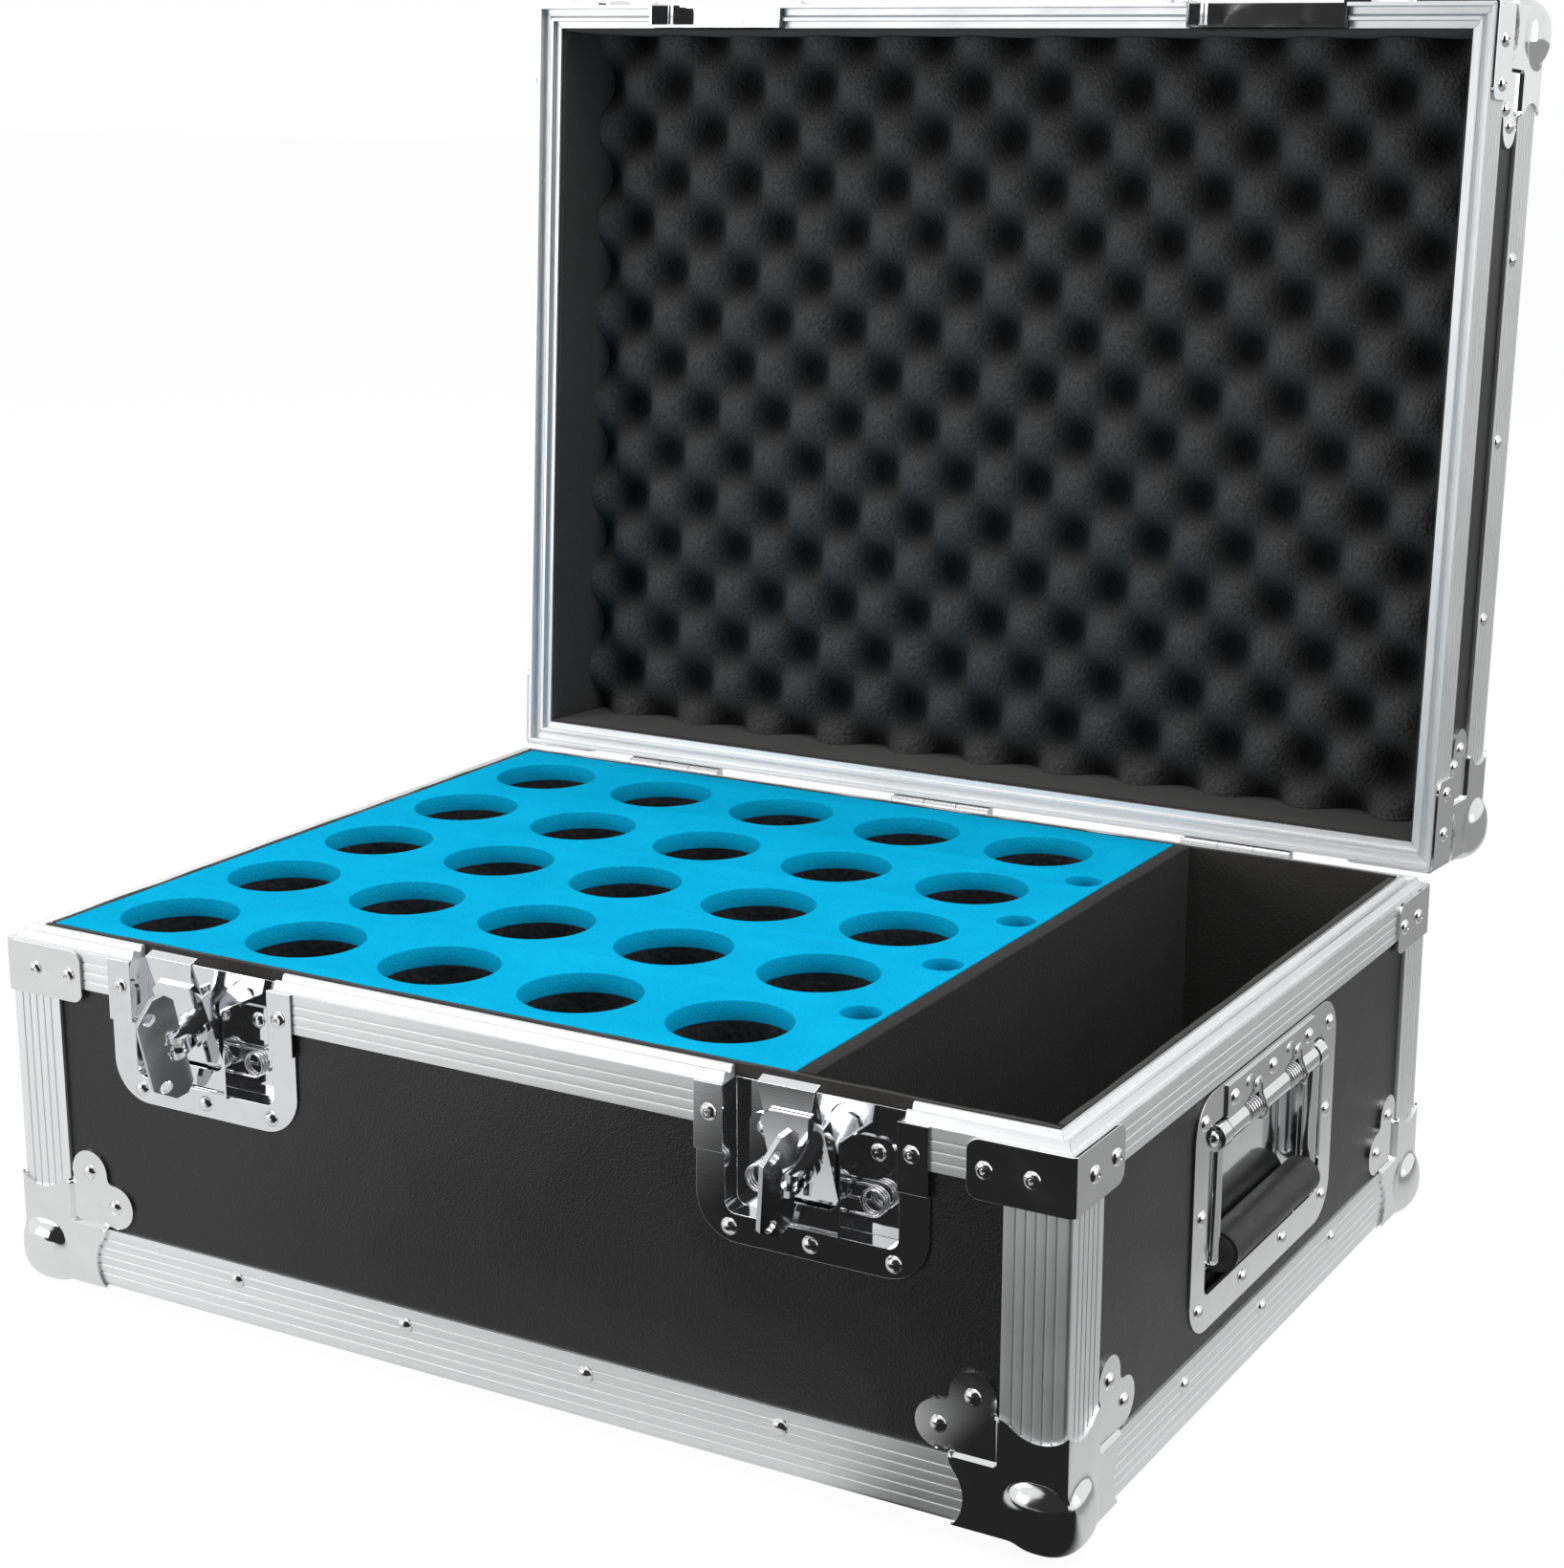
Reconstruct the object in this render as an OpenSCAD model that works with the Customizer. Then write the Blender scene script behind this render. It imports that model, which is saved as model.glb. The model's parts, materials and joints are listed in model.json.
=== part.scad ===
// Microphone transport case with two recessed twist latches, two folding handles,
// three stop hinges and a foam insert. The lid stands open, as it rests on its hinges.
// Origin: on the floor, under the middle of the base. +X right, +Y to the hinges, +Z up.

/* [Case] */
// Width over the edge extrusions
case_w = 560; // [500:10:800]
// Depth over the edge extrusions
case_d = 430; // [380:10:620]
// Height of the base, from the underside of its extrusions to the rim
base_h = 170; // [165:5:260]
// Height of the lid, from the rim to the outside of its extrusions
lid_h = 80; // [76:2:140]
// Angle at which the stop hinges hold the lid
lid_open = 93.6; // [90:0.1:100]

/* [Shell] */
// Thickness of the laminate panels
panel_t = 7; // [5:0.5:9]
// Face width of the edge extrusions
ext_face = 30; // [26:1:34]
// Wall of the outer leaf of the extrusions
ext_t = 2; // [1.5:0.1:2.5]
// Wall of the inner leaf of the extrusions
leaf_t = 1.5; // [1:0.1:2]
// Lap of the inner leaf over the panel
leaf_lap = 15; // [10:1:18]
// Outer corner radius of the extrusions
ext_r = 2; // [0.5:0.1:2.5]
// Face height of the rim extrusion of the base
rim_face = 19; // [16:1:24]
// Face height of the rim extrusion of the lid
lid_rim_face = 22; // [18:1:26]
// Width of the grooves in the extrusion faces
groove_w = 0.9; // [0.5:0.1:1.5]
// Depth of the grooves in the extrusion faces
groove_depth = 0.35; // [0.2:0.05:0.6]
// Distance between grooves
groove_pitch = 4.5; // [3.5:0.1:6]

/* [Corners] */
// Radius of the ball in each ball corner
ball_r = 22.5; // [18:0.5:26]
// How far the ball stands proud of the extrusions
ball_proud = 7; // [5:0.5:10]
// Sheet thickness of ball corners and corner brackets
corner_t = 1.5; // [1:0.1:2]
// Length of each leg of a ball corner
ball_leg = 52; // [48:1:60]
// Nearer coordinate of a lobe rivet, from the corner
lobe_near = 42; // [40:0.5:46]
// Farther coordinate of a lobe rivet, from the corner
lobe_far = 57.5; // [54:0.5:62]
// Radius of a lobe
lobe_r = 11; // [9:0.5:13]
// Length of each leg of a rim bracket
bracket_leg = 46.5; // [44:0.5:56]
// Height of a base rim bracket
bracket_h = 26; // [22:1:34]
// Height of a lid rim bracket
lid_bracket_h = 28; // [24:1:30]

/* [Rivets] */
// Head diameter of the rivets
rivet_d = 8; // [6:0.5:9]
// Head height of the rivets
rivet_h = 2.2; // [1.5:0.1:3]
// Distance of the edge rivets from the inner edge of an extrusion
rivet_edge = 8.5; // [7:0.5:12]
// Pitch of the edge rivets on the front and back
rivet_pitch_w = 98.5; // [80:0.5:110]
// Pitch of the edge rivets on the sides
rivet_pitch_d = 92; // [70:0.5:110]

/* [Latches] */
// Distance of each latch from the end of the case
latch_inset = 118; // [110:1:170]
// Width over the latch dish
dish_w = 110; // [104:1:120]
// Width of the latch recess
recess_w = 82; // [78:1:88]
// Depth of the latch recess behind the extrusion face
recess_depth = 11; // [10.5:0.1:11.2]
// Height of the latch dish below the rim
dish_h = 69.8; // [66:0.1:76]
// Height of the latch recess below the rim
recess_h = 56.7; // [55:0.1:58]
// Sheet thickness of the latch
latch_t = 1.2; // [1:0.1:1.3]
// Outward tilt of the released carrier
latch_tilt = 20; // [12:1:24]
// Width of the hook
hook_w = 26.8; // [22:0.2:27]
// Diameter of the stud
stud_d = 14; // [10:0.5:15]
// Travel of the hook when the stud turns
hook_travel = 5.9; // [4:0.1:6.5]
// Length of the wing
wing_l = 58; // [48:1:60]
// Width of the wing
wing_w = 20; // [17:0.5:21]
// Thickness of the wing
wing_t = 2.5; // [2:0.1:3]
// Height of the keepers in the lid
keeper_h = 31; // [29:1:36]

/* [Handles] */
// Length of the handle dish
handle_l = 174; // [166:1:190]
// Distance of the handle dish from the inner edges of the extrusions
handle_margin = 7; // [3:0.5:12]
// Depth of the handle dish behind the extrusion face
handle_depth = 12; // [11:0.1:12.2]
// Diameter of the hinge rod of the bail
rod_d = 8; // [6:0.5:9]
// Diameter of the bail
bail_d = 7; // [5:0.5:8]
// Distance between the arms of the bail
bail_w = 120; // [116:1:124]
// Diameter of the grip
grip_d = 19; // [15:0.5:19.5]
// Length of the grip
grip_l = 108; // [90:1:110]

/* [Hinges] */
// Width of a hinge
hinge_w = 60; // [45:1:80]
// Distance between hinges
hinge_pitch = 175; // [120:5:200]
// Height of a hinge leaf
hinge_leaf_h = 30; // [24:1:40]
// Diameter of a knuckle
knuckle_d = 7.4; // [6:0.1:7.4]
// Diameter of a hinge pin
pin_d = 3.2; // [2.5:0.1:4]

/* [Insert] */
// Distance from the case side to the inside of the lining
lining_in = 15; // [14.5:0.5:20]
// Distance from the lid side to the inside of the lid lining
lid_lining_in = 14; // [13.8:0.2:20]
// How far the lining and the foam stand above the rim
foam_proud = 5.5; // [2:0.5:6]
// Width of the open bay
bay_w = 109; // [80:1:160]
// Thickness of the divider board
board_t = 5; // [3:0.5:8]
// Thickness of the cover on the divider
cover_t = 2; // [1.5:0.5:4]
// Thickness of the blue sheet
sheet_t = 10; // [5:0.5:20]
// Microphone sockets across the case
socket_cols = 5; // [3:1:8]
// Microphone sockets from front to back
socket_rows = 5; // [3:1:6]
// Distance between sockets
socket_pitch = 78; // [64:1:80]
// Diameter of the sockets
socket_d = 57.5; // [40:0.5:60]
// Depth of the sockets below the top of the sheet
socket_depth = 140; // [100:1:144]
// Diameter of the small sockets
small_d = 19.5; // [12:0.5:24]
// Distance of the first socket column from the left edge of the foam
socket_margin = 43.5; // [36:0.5:50]
// Distance of the small sockets from the right edge of the foam
small_margin = 12.5; // [11:0.5:16]
// Shift of the sockets towards the front
socket_shift = 3.5; // [0:0.5:8]
// Distance of the egg-crate peaks below the lid rim
egg_peak = 43; // [38:1:50]
// Height of the egg-crate waves
egg_wave = 17; // [10:1:20]
// Distance between egg-crate peaks across the lid
egg_pitch_w = 48; // [40:1:70]
// Distance between egg-crate peaks along the lid
egg_pitch_d = 53.4; // [40:0.1:70]

/* [Hidden] */
$fn = 48;
// clearances
gap = 0.3;
run_gap = 0.05;
joint_gap = 0.05;

// shell
slot_in = ext_t + panel_t;
leaf_in = slot_in + leaf_t;
rim_z = ball_proud + base_h;
rim_web = 2;
lid_groove = 4.2;
lid_web = 7.3;
base_ridge = 5;
ridge_in = 12;
mitre_reach = 40;
ball_c = ball_r - ball_proud;
step_w = 1.5;
ear_out = ext_t - corner_t;
bracket_rivets = [17, 38];
bracket_rivet_drop = 13;
lid_bracket_rivet_drop = 14;
lid_ear_rivet = [49.5, 50.5];

// hinge axis
hinge_out = 4;
hinge_rise = 1.5;
hinge_y = case_d / 2 + hinge_out;
hinge_z = rim_z + hinge_rise;
hinge_leaf_t = 1.5;
knuckle_l = hinge_w / 3 - 0.4;
pin_head_d = 5;
pin_head_t = 1.5;

// latch, measured down from the rim or out from the recess
latch_x = case_w / 2 - latch_inset;
recess_in = recess_w / 2;
recess_out = recess_in + latch_t;
cut_in = recess_out + gap;
dish_r = 20;
recess_r = 5;
tab_h = 29;
tab_rivet_x = 47.5;
tab_rivet_drop = 13;
dish_rivet_x = 39;
dish_rivet_drop = 63;
pivot_t = 5.05;
pivot_drop = 52.8;
pivot_d = 4.4;
bracket_in = 15;
bracket_front = -3;
bracket_top_drop = 13.5;
bracket_foot = 3.7;
ear_l = 18;
ear_h = 16;
ear_rivet_x = 26.7;
ear_rivet_drop = 20;
cup_drop = 44;
cup_r = 5.5;
stud_s = 30.9;
carrier_top = 57;
carrier_foot = -2.9;
carrier_out = bracket_in - gap;
carrier_back = 4.2;
carrier_chamfer = 5;
hook_n = latch_t / 2;
hook_top = 70;
hook_foot = 14.9;
lip_in = 4;
stud_flange_d = 20;
stud_flange_t = 1.8;
stud_collar_d = 17;
stud_collar_t = 1.8;
wing_pin_n = 10.4;
wing_pin_d = 3;
head_r = 5.5;
waist_gap = 0.6;
slot_w = 5.4;
tab_w = 4.8;
wing_inner = 2;
wing_chamfer = 10;
wing_hole_s = 20;
wing_hole_w = 11.6;
wing_hole_d = 6.5;
turn_rest = [6, 14];
fold_rest = [68, 74];
ledge_w = 28;
ledge_rise = 8.3;
ledge_out = 7;
keeper_recess_h = 23;
keeper_r = 8;
spring_x = 27;
spring_drop = 40;
spring_d = 11;
wire_d = 1.5;
coil_pitch = 2.05;

// handle, placed between the extrusions of the base
handle_top_gap = 2;
handle_low = ext_face + handle_margin;
handle_high = base_h - rim_face - handle_top_gap;
handle_r = 19;
handle_open_l = 142;
handle_open_lo = handle_low + 16.6;
handle_open_hi = handle_high - 15.5;
grip_clear = 4.9;
handle_sheet = 1.2;
rod_t = 2.5;
rod_z = handle_high - 23;
rod_half = 66;
bail_drop = rod_z - handle_open_lo - grip_d / 2 - grip_clear;
eye_d = 13;
eye_l = 9;
barrel_d = 12;
bar_l = 108;
bar_h = 17;
bar_t = 1.2;
window_x = 25;
window_l = 18;
handle_rivet_x = 77;
handle_rivets_z = [handle_low + 12, (handle_low + handle_high) / 2, handle_high - 12];
handle_low_x = 25;
handle_low_z = handle_low + 9;
bar_rivet_x = 46;
bar_rivet_z = rod_z + 13.5;
handle_coils = 5;
handle_pitch = 2.6;

// insert
floor_t = 6;
floor_z = slot_in + floor_t;
foam_top = base_h + foam_proud;
bay_r = case_w / 2 - lining_in;
bay_l = bay_r - bay_w;
divider_l = bay_l - cover_t - board_t - cover_t;
foam_l = -case_w / 2 + lining_in + gap;
foam_r = divider_l - gap;
foam_half = case_d / 2 - lining_in - gap;
block_top = foam_top - sheet_t;
board_drop = 1.5;
egg_back = lid_h - leaf_in - 0.2;
egg_w = case_w - 2 * lid_lining_in - 2 * gap;
egg_d = case_d - 2 * lid_lining_in - 2 * gap;

// ---------------------------------------------------------------- frames
// Both halves are boxes with z = 0 on the outside and their rim at the top.
module base_frame() translate([0, 0, ball_proud]) children();

module lid_pose()
    translate([0, hinge_y, hinge_z]) rotate([-lid_open, 0, 0])
        translate([0, -hinge_y, -hinge_z]) children();

module lid_frame() lid_pose() translate([0, 0, rim_z + lid_h]) mirror([0, 0, 1]) children();

// In a wall's frame x runs along the wall, y goes inwards from its outer face.
module front_wall() translate([0, -case_d / 2, 0]) children();
module back_wall() translate([0, case_d / 2, 0]) rotate(180) children();
module right_wall() translate([case_w / 2, 0, 0]) rotate(90) children();
module left_wall() translate([-case_w / 2, 0, 0]) rotate(-90) children();

module all_walls() {
    front_wall() children(0);
    back_wall() children(0);
    right_wall() children(1);
    left_wall() children(1);
}

// In a corner's frame x and y both go inwards from the corner.
module corners()
    for (sx = [0, 1], sy = [0, 1])
        translate([(sx - 0.5) * case_w, (sy - 0.5) * case_d, 0])
            mirror([sx, 0, 0]) mirror([0, sy, 0]) children();

module both_latches() {
    translate([-latch_x, 0, 0]) children(0);
    translate([latch_x, 0, 0]) children($children - 1);
}

// ---------------------------------------------------------------- profiles
// Grooves across a face that starts at from and ends at to, on the line x = 0.
module grooves(from, to)
    for (g = [from + groove_pitch : groove_pitch : to - groove_pitch / 2])
        translate([-1, g - groove_w / 2]) square([1 + groove_depth, groove_w]);

module outer_round() difference() {
    translate([-1, -1]) square(ext_r + 1);
    translate([ext_r, ext_r]) circle(ext_r);
}

// Angle extrusion that holds two panels between its outer and inner leaves.
module edge_profile() difference() {
    union() {
        difference() {
            square(ext_face);
            translate([ext_t, ext_t]) square(ext_face);
        }
        translate([slot_in, slot_in]) difference() {
            square(leaf_lap);
            translate([leaf_t, leaf_t]) square(leaf_lap);
        }
        translate([ext_t / 2, slot_in]) square([panel_t + ext_t, leaf_t]);
        translate([slot_in, ext_t / 2]) square([leaf_t, panel_t + ext_t]);
    }
    outer_round();
    grooves(ext_r, ext_face);
    mirror([1, -1]) grooves(ext_r, ext_face);
}

// Rim of the base: channel over the panel edge, with an outer and an inner ridge.
module base_rim_profile() difference() {
    union() {
        translate([0, -rim_face]) square([ext_t, rim_face]);
        translate([0, -rim_web]) square([ridge_in, rim_web]);
        translate([slot_in, -rim_face]) square([leaf_t, rim_face]);
        polygon([[ext_t + gap, -0.5], [ext_t + 1.9, 3.6], [ext_t + 3.1, 3.6], [7.2, 2.3],
                 [8.8, 2.3], [9.4, 4.4], [10, base_ridge], [11.4, base_ridge],
                 [ridge_in, 4.4], [ridge_in, -0.5]]);
    }
    translate([0, -rim_face]) grooves(0, rim_face);
}

// Rim of the lid, drawn the same way up: two channels that take the ridges of the base.
module lid_rim_profile() difference() {
    union() {
        translate([0, -lid_rim_face]) square([ext_t, lid_rim_face]);
        translate([slot_in, -lid_rim_face]) square([leaf_t, lid_rim_face - 6]);
        polygon([[ext_t / 2, -6.2], [ext_t / 2, -lid_groove], [5.6, -lid_groove], [6.9, -2.7],
                 [8.7, -2.7], [8.7, -base_ridge - 0.5], [12.4, -base_ridge - 0.5],
                 [12.4, -7.2], [8.4, -7.2], [8.4, -6.2]]);
    }
    translate([0, -lid_rim_face]) grooves(0, lid_rim_face);
}

// Bar along x with its ends mitred for a frame of the given length.
module mitred_bar(length, z_low, z_high) intersection() {
    rotate([90, 0, 90]) linear_extrude(length, center = true) children();
    translate([0, 0, z_low]) linear_extrude(z_high - z_low)
        polygon([[-length / 2 + joint_gap, 0], [length / 2 - joint_gap, 0],
                 [length / 2 - joint_gap - mitre_reach, mitre_reach],
                 [-length / 2 + joint_gap + mitre_reach, mitre_reach]]);
}

module frame_bars(z_low, z_high) all_walls() {
    mitred_bar(case_w, z_low, z_high) children(0);
    mitred_bar(case_d, z_low, z_high) children(0);
}

module rim_bars(height) frame_bars(height - 40, height + 10) translate([0, height]) children(0);

module edge_bars() color("silver") frame_bars(0, ext_face) edge_profile();

module upright_bars(height, rim) color("silver") corners()
    translate([0, 0, ext_face + joint_gap])
        linear_extrude(height - rim - ext_face - 2 * joint_gap) edge_profile();

module latch_cuts(drop, height) front_wall() both_latches()
    translate([-cut_in, -5, height - drop - gap]) cube([2 * cut_in, 30, drop + 20]);

module base_rim_extrusions() color("silver") base_frame() difference() {
    rim_bars(base_h) base_rim_profile();
    latch_cuts(recess_h + latch_t, base_h);
}

module lid_rim_extrusions() color("silver") lid_frame() difference() {
    rim_bars(lid_h) lid_rim_profile();
    latch_cuts(keeper_recess_h + latch_t, lid_h);
}

// ---------------------------------------------------------------- panels
module wall_panel(length, height, top_gap) color("#1b1b1d")
    translate([leaf_in - length / 2, ext_t, leaf_in])
        cube([length - 2 * leaf_in, panel_t, height - leaf_in - top_gap]);

module flat_panel() color("#1b1b1d")
    translate([leaf_in - case_w / 2, leaf_in - case_d / 2, ext_t])
        cube([case_w - 2 * leaf_in, case_d - 2 * leaf_in, panel_t]);

module handle_cut() translate([-handle_open_l / 2 - handle_sheet - gap, -5,
                               handle_open_lo - handle_sheet - gap])
    cube([handle_open_l + 2 * (handle_sheet + gap), 5 + handle_depth + handle_sheet + gap,
          handle_open_hi - handle_open_lo + 2 * (handle_sheet + gap)]);

module base_panel_front() base_frame() difference() {
    front_wall() wall_panel(case_w, base_h, rim_web);
    latch_cuts(recess_h + latch_t, base_h);
}

module base_panel_back() base_frame() back_wall() wall_panel(case_w, base_h, rim_web);

module side_panel() difference() {
    wall_panel(case_d, base_h, rim_web);
    handle_cut();
}

module base_panel_left() base_frame() left_wall() side_panel();
module base_panel_right() base_frame() right_wall() side_panel();
module base_panel_bottom() base_frame() flat_panel();

module lid_panel_front() lid_frame() difference() {
    front_wall() wall_panel(case_w, lid_h, lid_web);
    latch_cuts(keeper_recess_h + latch_t, lid_h);
}

module lid_panel_back() lid_frame() back_wall() wall_panel(case_w, lid_h, lid_web);
module lid_panel_left() lid_frame() left_wall() wall_panel(case_d, lid_h, lid_web);
module lid_panel_right() lid_frame() right_wall() wall_panel(case_d, lid_h, lid_web);
module lid_panel_top() lid_frame() flat_panel();

// ---------------------------------------------------------------- corners
// Outline of one face of a ball corner, with the case corner at the origin.
module ball_outline() difference() {
    union() {
        translate([-corner_t, -corner_t]) square([ball_leg + corner_t, ball_leg + corner_t]);
        for (p = [[lobe_far, lobe_near], [lobe_near, lobe_far]]) translate(p) circle(lobe_r);
        polygon([[30, lobe_near], [lobe_near, 30], [lobe_far, lobe_near], [lobe_near, lobe_far]]);
    }
    // hollow ends of the two legs
    for (m = [0, 1]) mirror([m, -m, 0]) translate([ball_leg + 12, 12]) circle(19);
    translate([lobe_far + 5.5, lobe_far + 5.5]) circle(lobe_r);
}

module ball_face() {
    // legs, which lie on the extrusions
    translate([0, 0, -corner_t]) linear_extrude(corner_t) difference() {
        ball_outline();
        translate([ext_face + step_w, ext_face + step_w]) square(ball_leg);
    }
    // step down at the inner edges of the extrusions
    translate([0, 0, -corner_t]) linear_extrude(corner_t + ext_t) intersection() {
        ball_outline();
        translate([ext_face + joint_gap, ext_face + joint_gap]) difference() {
            square(ball_leg);
            translate([step_w, step_w]) square(ball_leg);
        }
    }
    // ear, which lies on the panel
    translate([0, 0, ear_out]) linear_extrude(corner_t) intersection() {
        ball_outline();
        translate([ext_face + joint_gap, ext_face + joint_gap]) square(ball_leg);
    }
}

// The three faces of a corner, each with its outline's origin at the corner.
module three_faces() {
    children();
    mirror([1, 0, -1]) children();
    mirror([0, 1, -1]) children();
}

module ball_corner() {
    three_faces() ball_face();
    difference() {
        translate([ball_c, ball_c, ball_c]) sphere(ball_r, $fn = 64);
        cube(2 * ball_r);
    }
}

module ball_corners() color("gainsboro") corners() ball_corner();

// On the lid the ears end under the corner bracket and the rim extrusion.
module low_ball_corners() color("gainsboro") corners() difference() {
    ball_corner();
    translate([-ball_r, -ball_r, lid_h - lid_bracket_h - gap])
        cube([ball_r + bracket_leg + gap, ball_r + bracket_leg + gap, lid_h]);
    translate([-ball_r, -ball_r, lid_h - lid_rim_face - joint_gap]) cube(4 * ball_r);
}

module bracket_side(height) translate([-corner_t, 0, 0]) rotate([90, 0, 0])
    linear_extrude(corner_t) difference() {
        square([bracket_leg + corner_t, height]);
        translate([bracket_leg + corner_t - 5, 0]) difference() {
            translate([0, -1]) square([6, 6]);
            translate([0, 5]) circle(5);
        }
    }

module corner_brackets(height, tall) color("gainsboro") corners()
    translate([0, 0, height - tall]) {
        bracket_side(tall);
        mirror([1, -1, 0]) bracket_side(tall);
    }

// ---------------------------------------------------------------- rivets
// Domed head with its flat side on z = 0, pointing to +z.
module rivet(d = rivet_d, h = rivet_h) {
    r = (d * d / 4 + h * h) / (2 * h);
    intersection() {
        translate([0, 0, h - r]) sphere(r);
        cylinder(d = d + 1, h = h + 1);
    }
}

// Rivet on a wall: x along it, y is the surface it sits on, z up.
module wall_rivet(x, y, z) translate([x, y, z]) rotate([90, 0, 0]) rivet();

module edge_rivets() all_walls() {
    for (x = [-1.5 : 1 : 1.5]) wall_rivet(x * rivet_pitch_w, 0, ext_face - rivet_edge);
    for (x = [-1 : 1 : 1]) wall_rivet(x * rivet_pitch_d, 0, ext_face - rivet_edge);
}

// Rivets of a bracket, and of a ball corner with its upper ear rivet at high on the side faces.
module corner_rivets(height, drop, high) corners() {
    for (p = [[lobe_far, lobe_near], [lobe_near, lobe_far]])
        translate([p[0], p[1], ear_out]) mirror([0, 0, 1]) rivet();
    for (m = [0, 1]) mirror([m, -m, 0]) {
        for (p = [[lobe_far, lobe_near], high]) wall_rivet(p[0], ear_out, p[1]);
        for (x = bracket_rivets) wall_rivet(x, -corner_t, height - drop);
    }
}

module dish_rivets() {
    for (s = [-1, 1]) {
        wall_rivet(s * tab_rivet_x, -latch_t, base_h - tab_rivet_drop);
        wall_rivet(s * ear_rivet_x, recess_depth - latch_t - joint_gap, base_h - ear_rivet_drop);
    }
    for (x = [-dish_rivet_x, 0, dish_rivet_x])
        wall_rivet(x, ext_t - latch_t, base_h - dish_rivet_drop);
}

module handle_rivets() {
    for (s = [-1, 1]) {
        for (z = handle_rivets_z) wall_rivet(s * handle_rivet_x, ext_t - handle_sheet, z);
        wall_rivet(s * handle_low_x, ext_t - handle_sheet, handle_low_z);
    }
    for (x = [-bar_rivet_x, 0, bar_rivet_x])
        wall_rivet(x, ext_t - handle_sheet - bar_t, bar_rivet_z);
}

module hinge_rivets(z) for (h = [-1 : 1], x = [-1 : 1])
    wall_rivet(h * hinge_pitch + x * hinge_w / 3, -hinge_leaf_t, z);

module base_rivets() color("gainsboro") base_frame() {
    edge_rivets();
    corner_rivets(base_h, bracket_rivet_drop, [lobe_near, lobe_far]);
    front_wall() both_latches() dish_rivets();
    right_wall() handle_rivets();
    left_wall() handle_rivets();
    back_wall() hinge_rivets(base_h - hinge_leaf_h * 0.6);
}

module lid_rivets() color("gainsboro") lid_frame() {
    edge_rivets();
    corner_rivets(lid_h, lid_bracket_rivet_drop, lid_ear_rivet);
    front_wall() both_latches() for (s = [-1, 1])
        wall_rivet(s * tab_rivet_x, -latch_t, lid_h - tab_rivet_drop + 2);
    back_wall() hinge_rivets(lid_h - hinge_leaf_h * 0.6);
}

// ---------------------------------------------------------------- latch sheet parts
// Sheet drawn in x and z, with its outer side at y and going inwards.
module sheet(y, t) translate([0, y + t, 0]) rotate([90, 0, 0]) linear_extrude(t) children();

module round_rect(x1, z1, x2, z2, r) {
    translate([x1 + r, z1]) square([x2 - x1 - 2 * r, z2 - z1]);
    translate([x1, z1 + r]) square([x2 - x1, z2 - z1 - 2 * r]);
    for (x = [x1 + r, x2 - r], z = [z1 + r, z2 - r]) translate([x, z]) circle(r);
}

// Rectangle below the line z = top, with round lower corners.
module round_foot(half, low, top, r) intersection() {
    round_rect(-half, low, half, top + 2 * r, r);
    translate([-half, low]) square([2 * half, top - low]);
}

// Open-topped recess with a flange, tabs over the rim extrusion and a step between them.
module open_dish(height, flange_h, recess_low, rim, r) difference() {
    union() {
        sheet(ext_t - latch_t, latch_t)
            round_foot(dish_w / 2, height - flange_h, height - rim, r);
        sheet(-latch_t, latch_t) translate([-dish_w / 2, height - rim]) square([dish_w, rim]);
        sheet(-latch_t, latch_t + ext_t) translate([-dish_w / 2, height - rim - latch_t])
            square([dish_w, latch_t]);
        sheet(ext_t - latch_t, recess_depth + 2 * latch_t - ext_t)
            round_foot(recess_out, height - recess_low - latch_t, height, recess_r + latch_t);
        sheet(-latch_t, recess_depth + 2 * latch_t)
            translate([-recess_out, height - rim]) square([2 * recess_out, rim]);
    }
    sheet(-5, recess_depth + 5) round_foot(recess_in, height - recess_low, height + 5, recess_r);
}

module dish() color("silver") open_dish(base_h, dish_h, recess_h, tab_h, dish_r);

// Fixed bracket: two ears on the back of the recess, side walls and a cupped front.
module latch_bracket() color("lightgray") difference() {
    foot_z = base_h - recess_h + joint_gap;
    top_z = base_h - bracket_top_drop;
    out = bracket_in + latch_t;
    union() {
        for (s = [0, 1]) mirror([s, 0, 0]) {
            translate([bracket_in, bracket_front, foot_z])
                cube([latch_t, recess_depth - bracket_front - joint_gap, top_z - foot_z]);
            sheet(recess_depth - latch_t - joint_gap, latch_t)
                round_rect(bracket_in, top_z - ear_h, out + ear_l, top_z, 5);
        }
        sheet(bracket_front, latch_t) translate([-out, foot_z + bracket_foot])
            square([2 * out, top_z - foot_z - bracket_foot]);
    }
    // cup in the front, through which the carrier swings
    sheet(bracket_front - 1, latch_t + 1.5)
        round_foot(bracket_in + gap / 2, base_h - cup_drop, top_z + 5, cup_r);
    // bearing of the carrier
    translate([0, pivot_t, base_h - pivot_drop]) rotate([0, 90, 0])
        cylinder(d = pivot_d + 2 * run_gap, h = 2 * (out + ear_l), center = true);
}

// ---------------------------------------------------------------- moving latch parts
// Carrier frame: origin on the pivot, z up the carrier, y inwards through it.
module carrier_frame() translate([0, pivot_t, base_h - pivot_drop])
    rotate([latch_tilt, 0, 0]) children();

module stud_frame(side) carrier_frame() translate([0, 0, stud_s])
    rotate([0, turn_rest[side], 0]) children();

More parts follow.
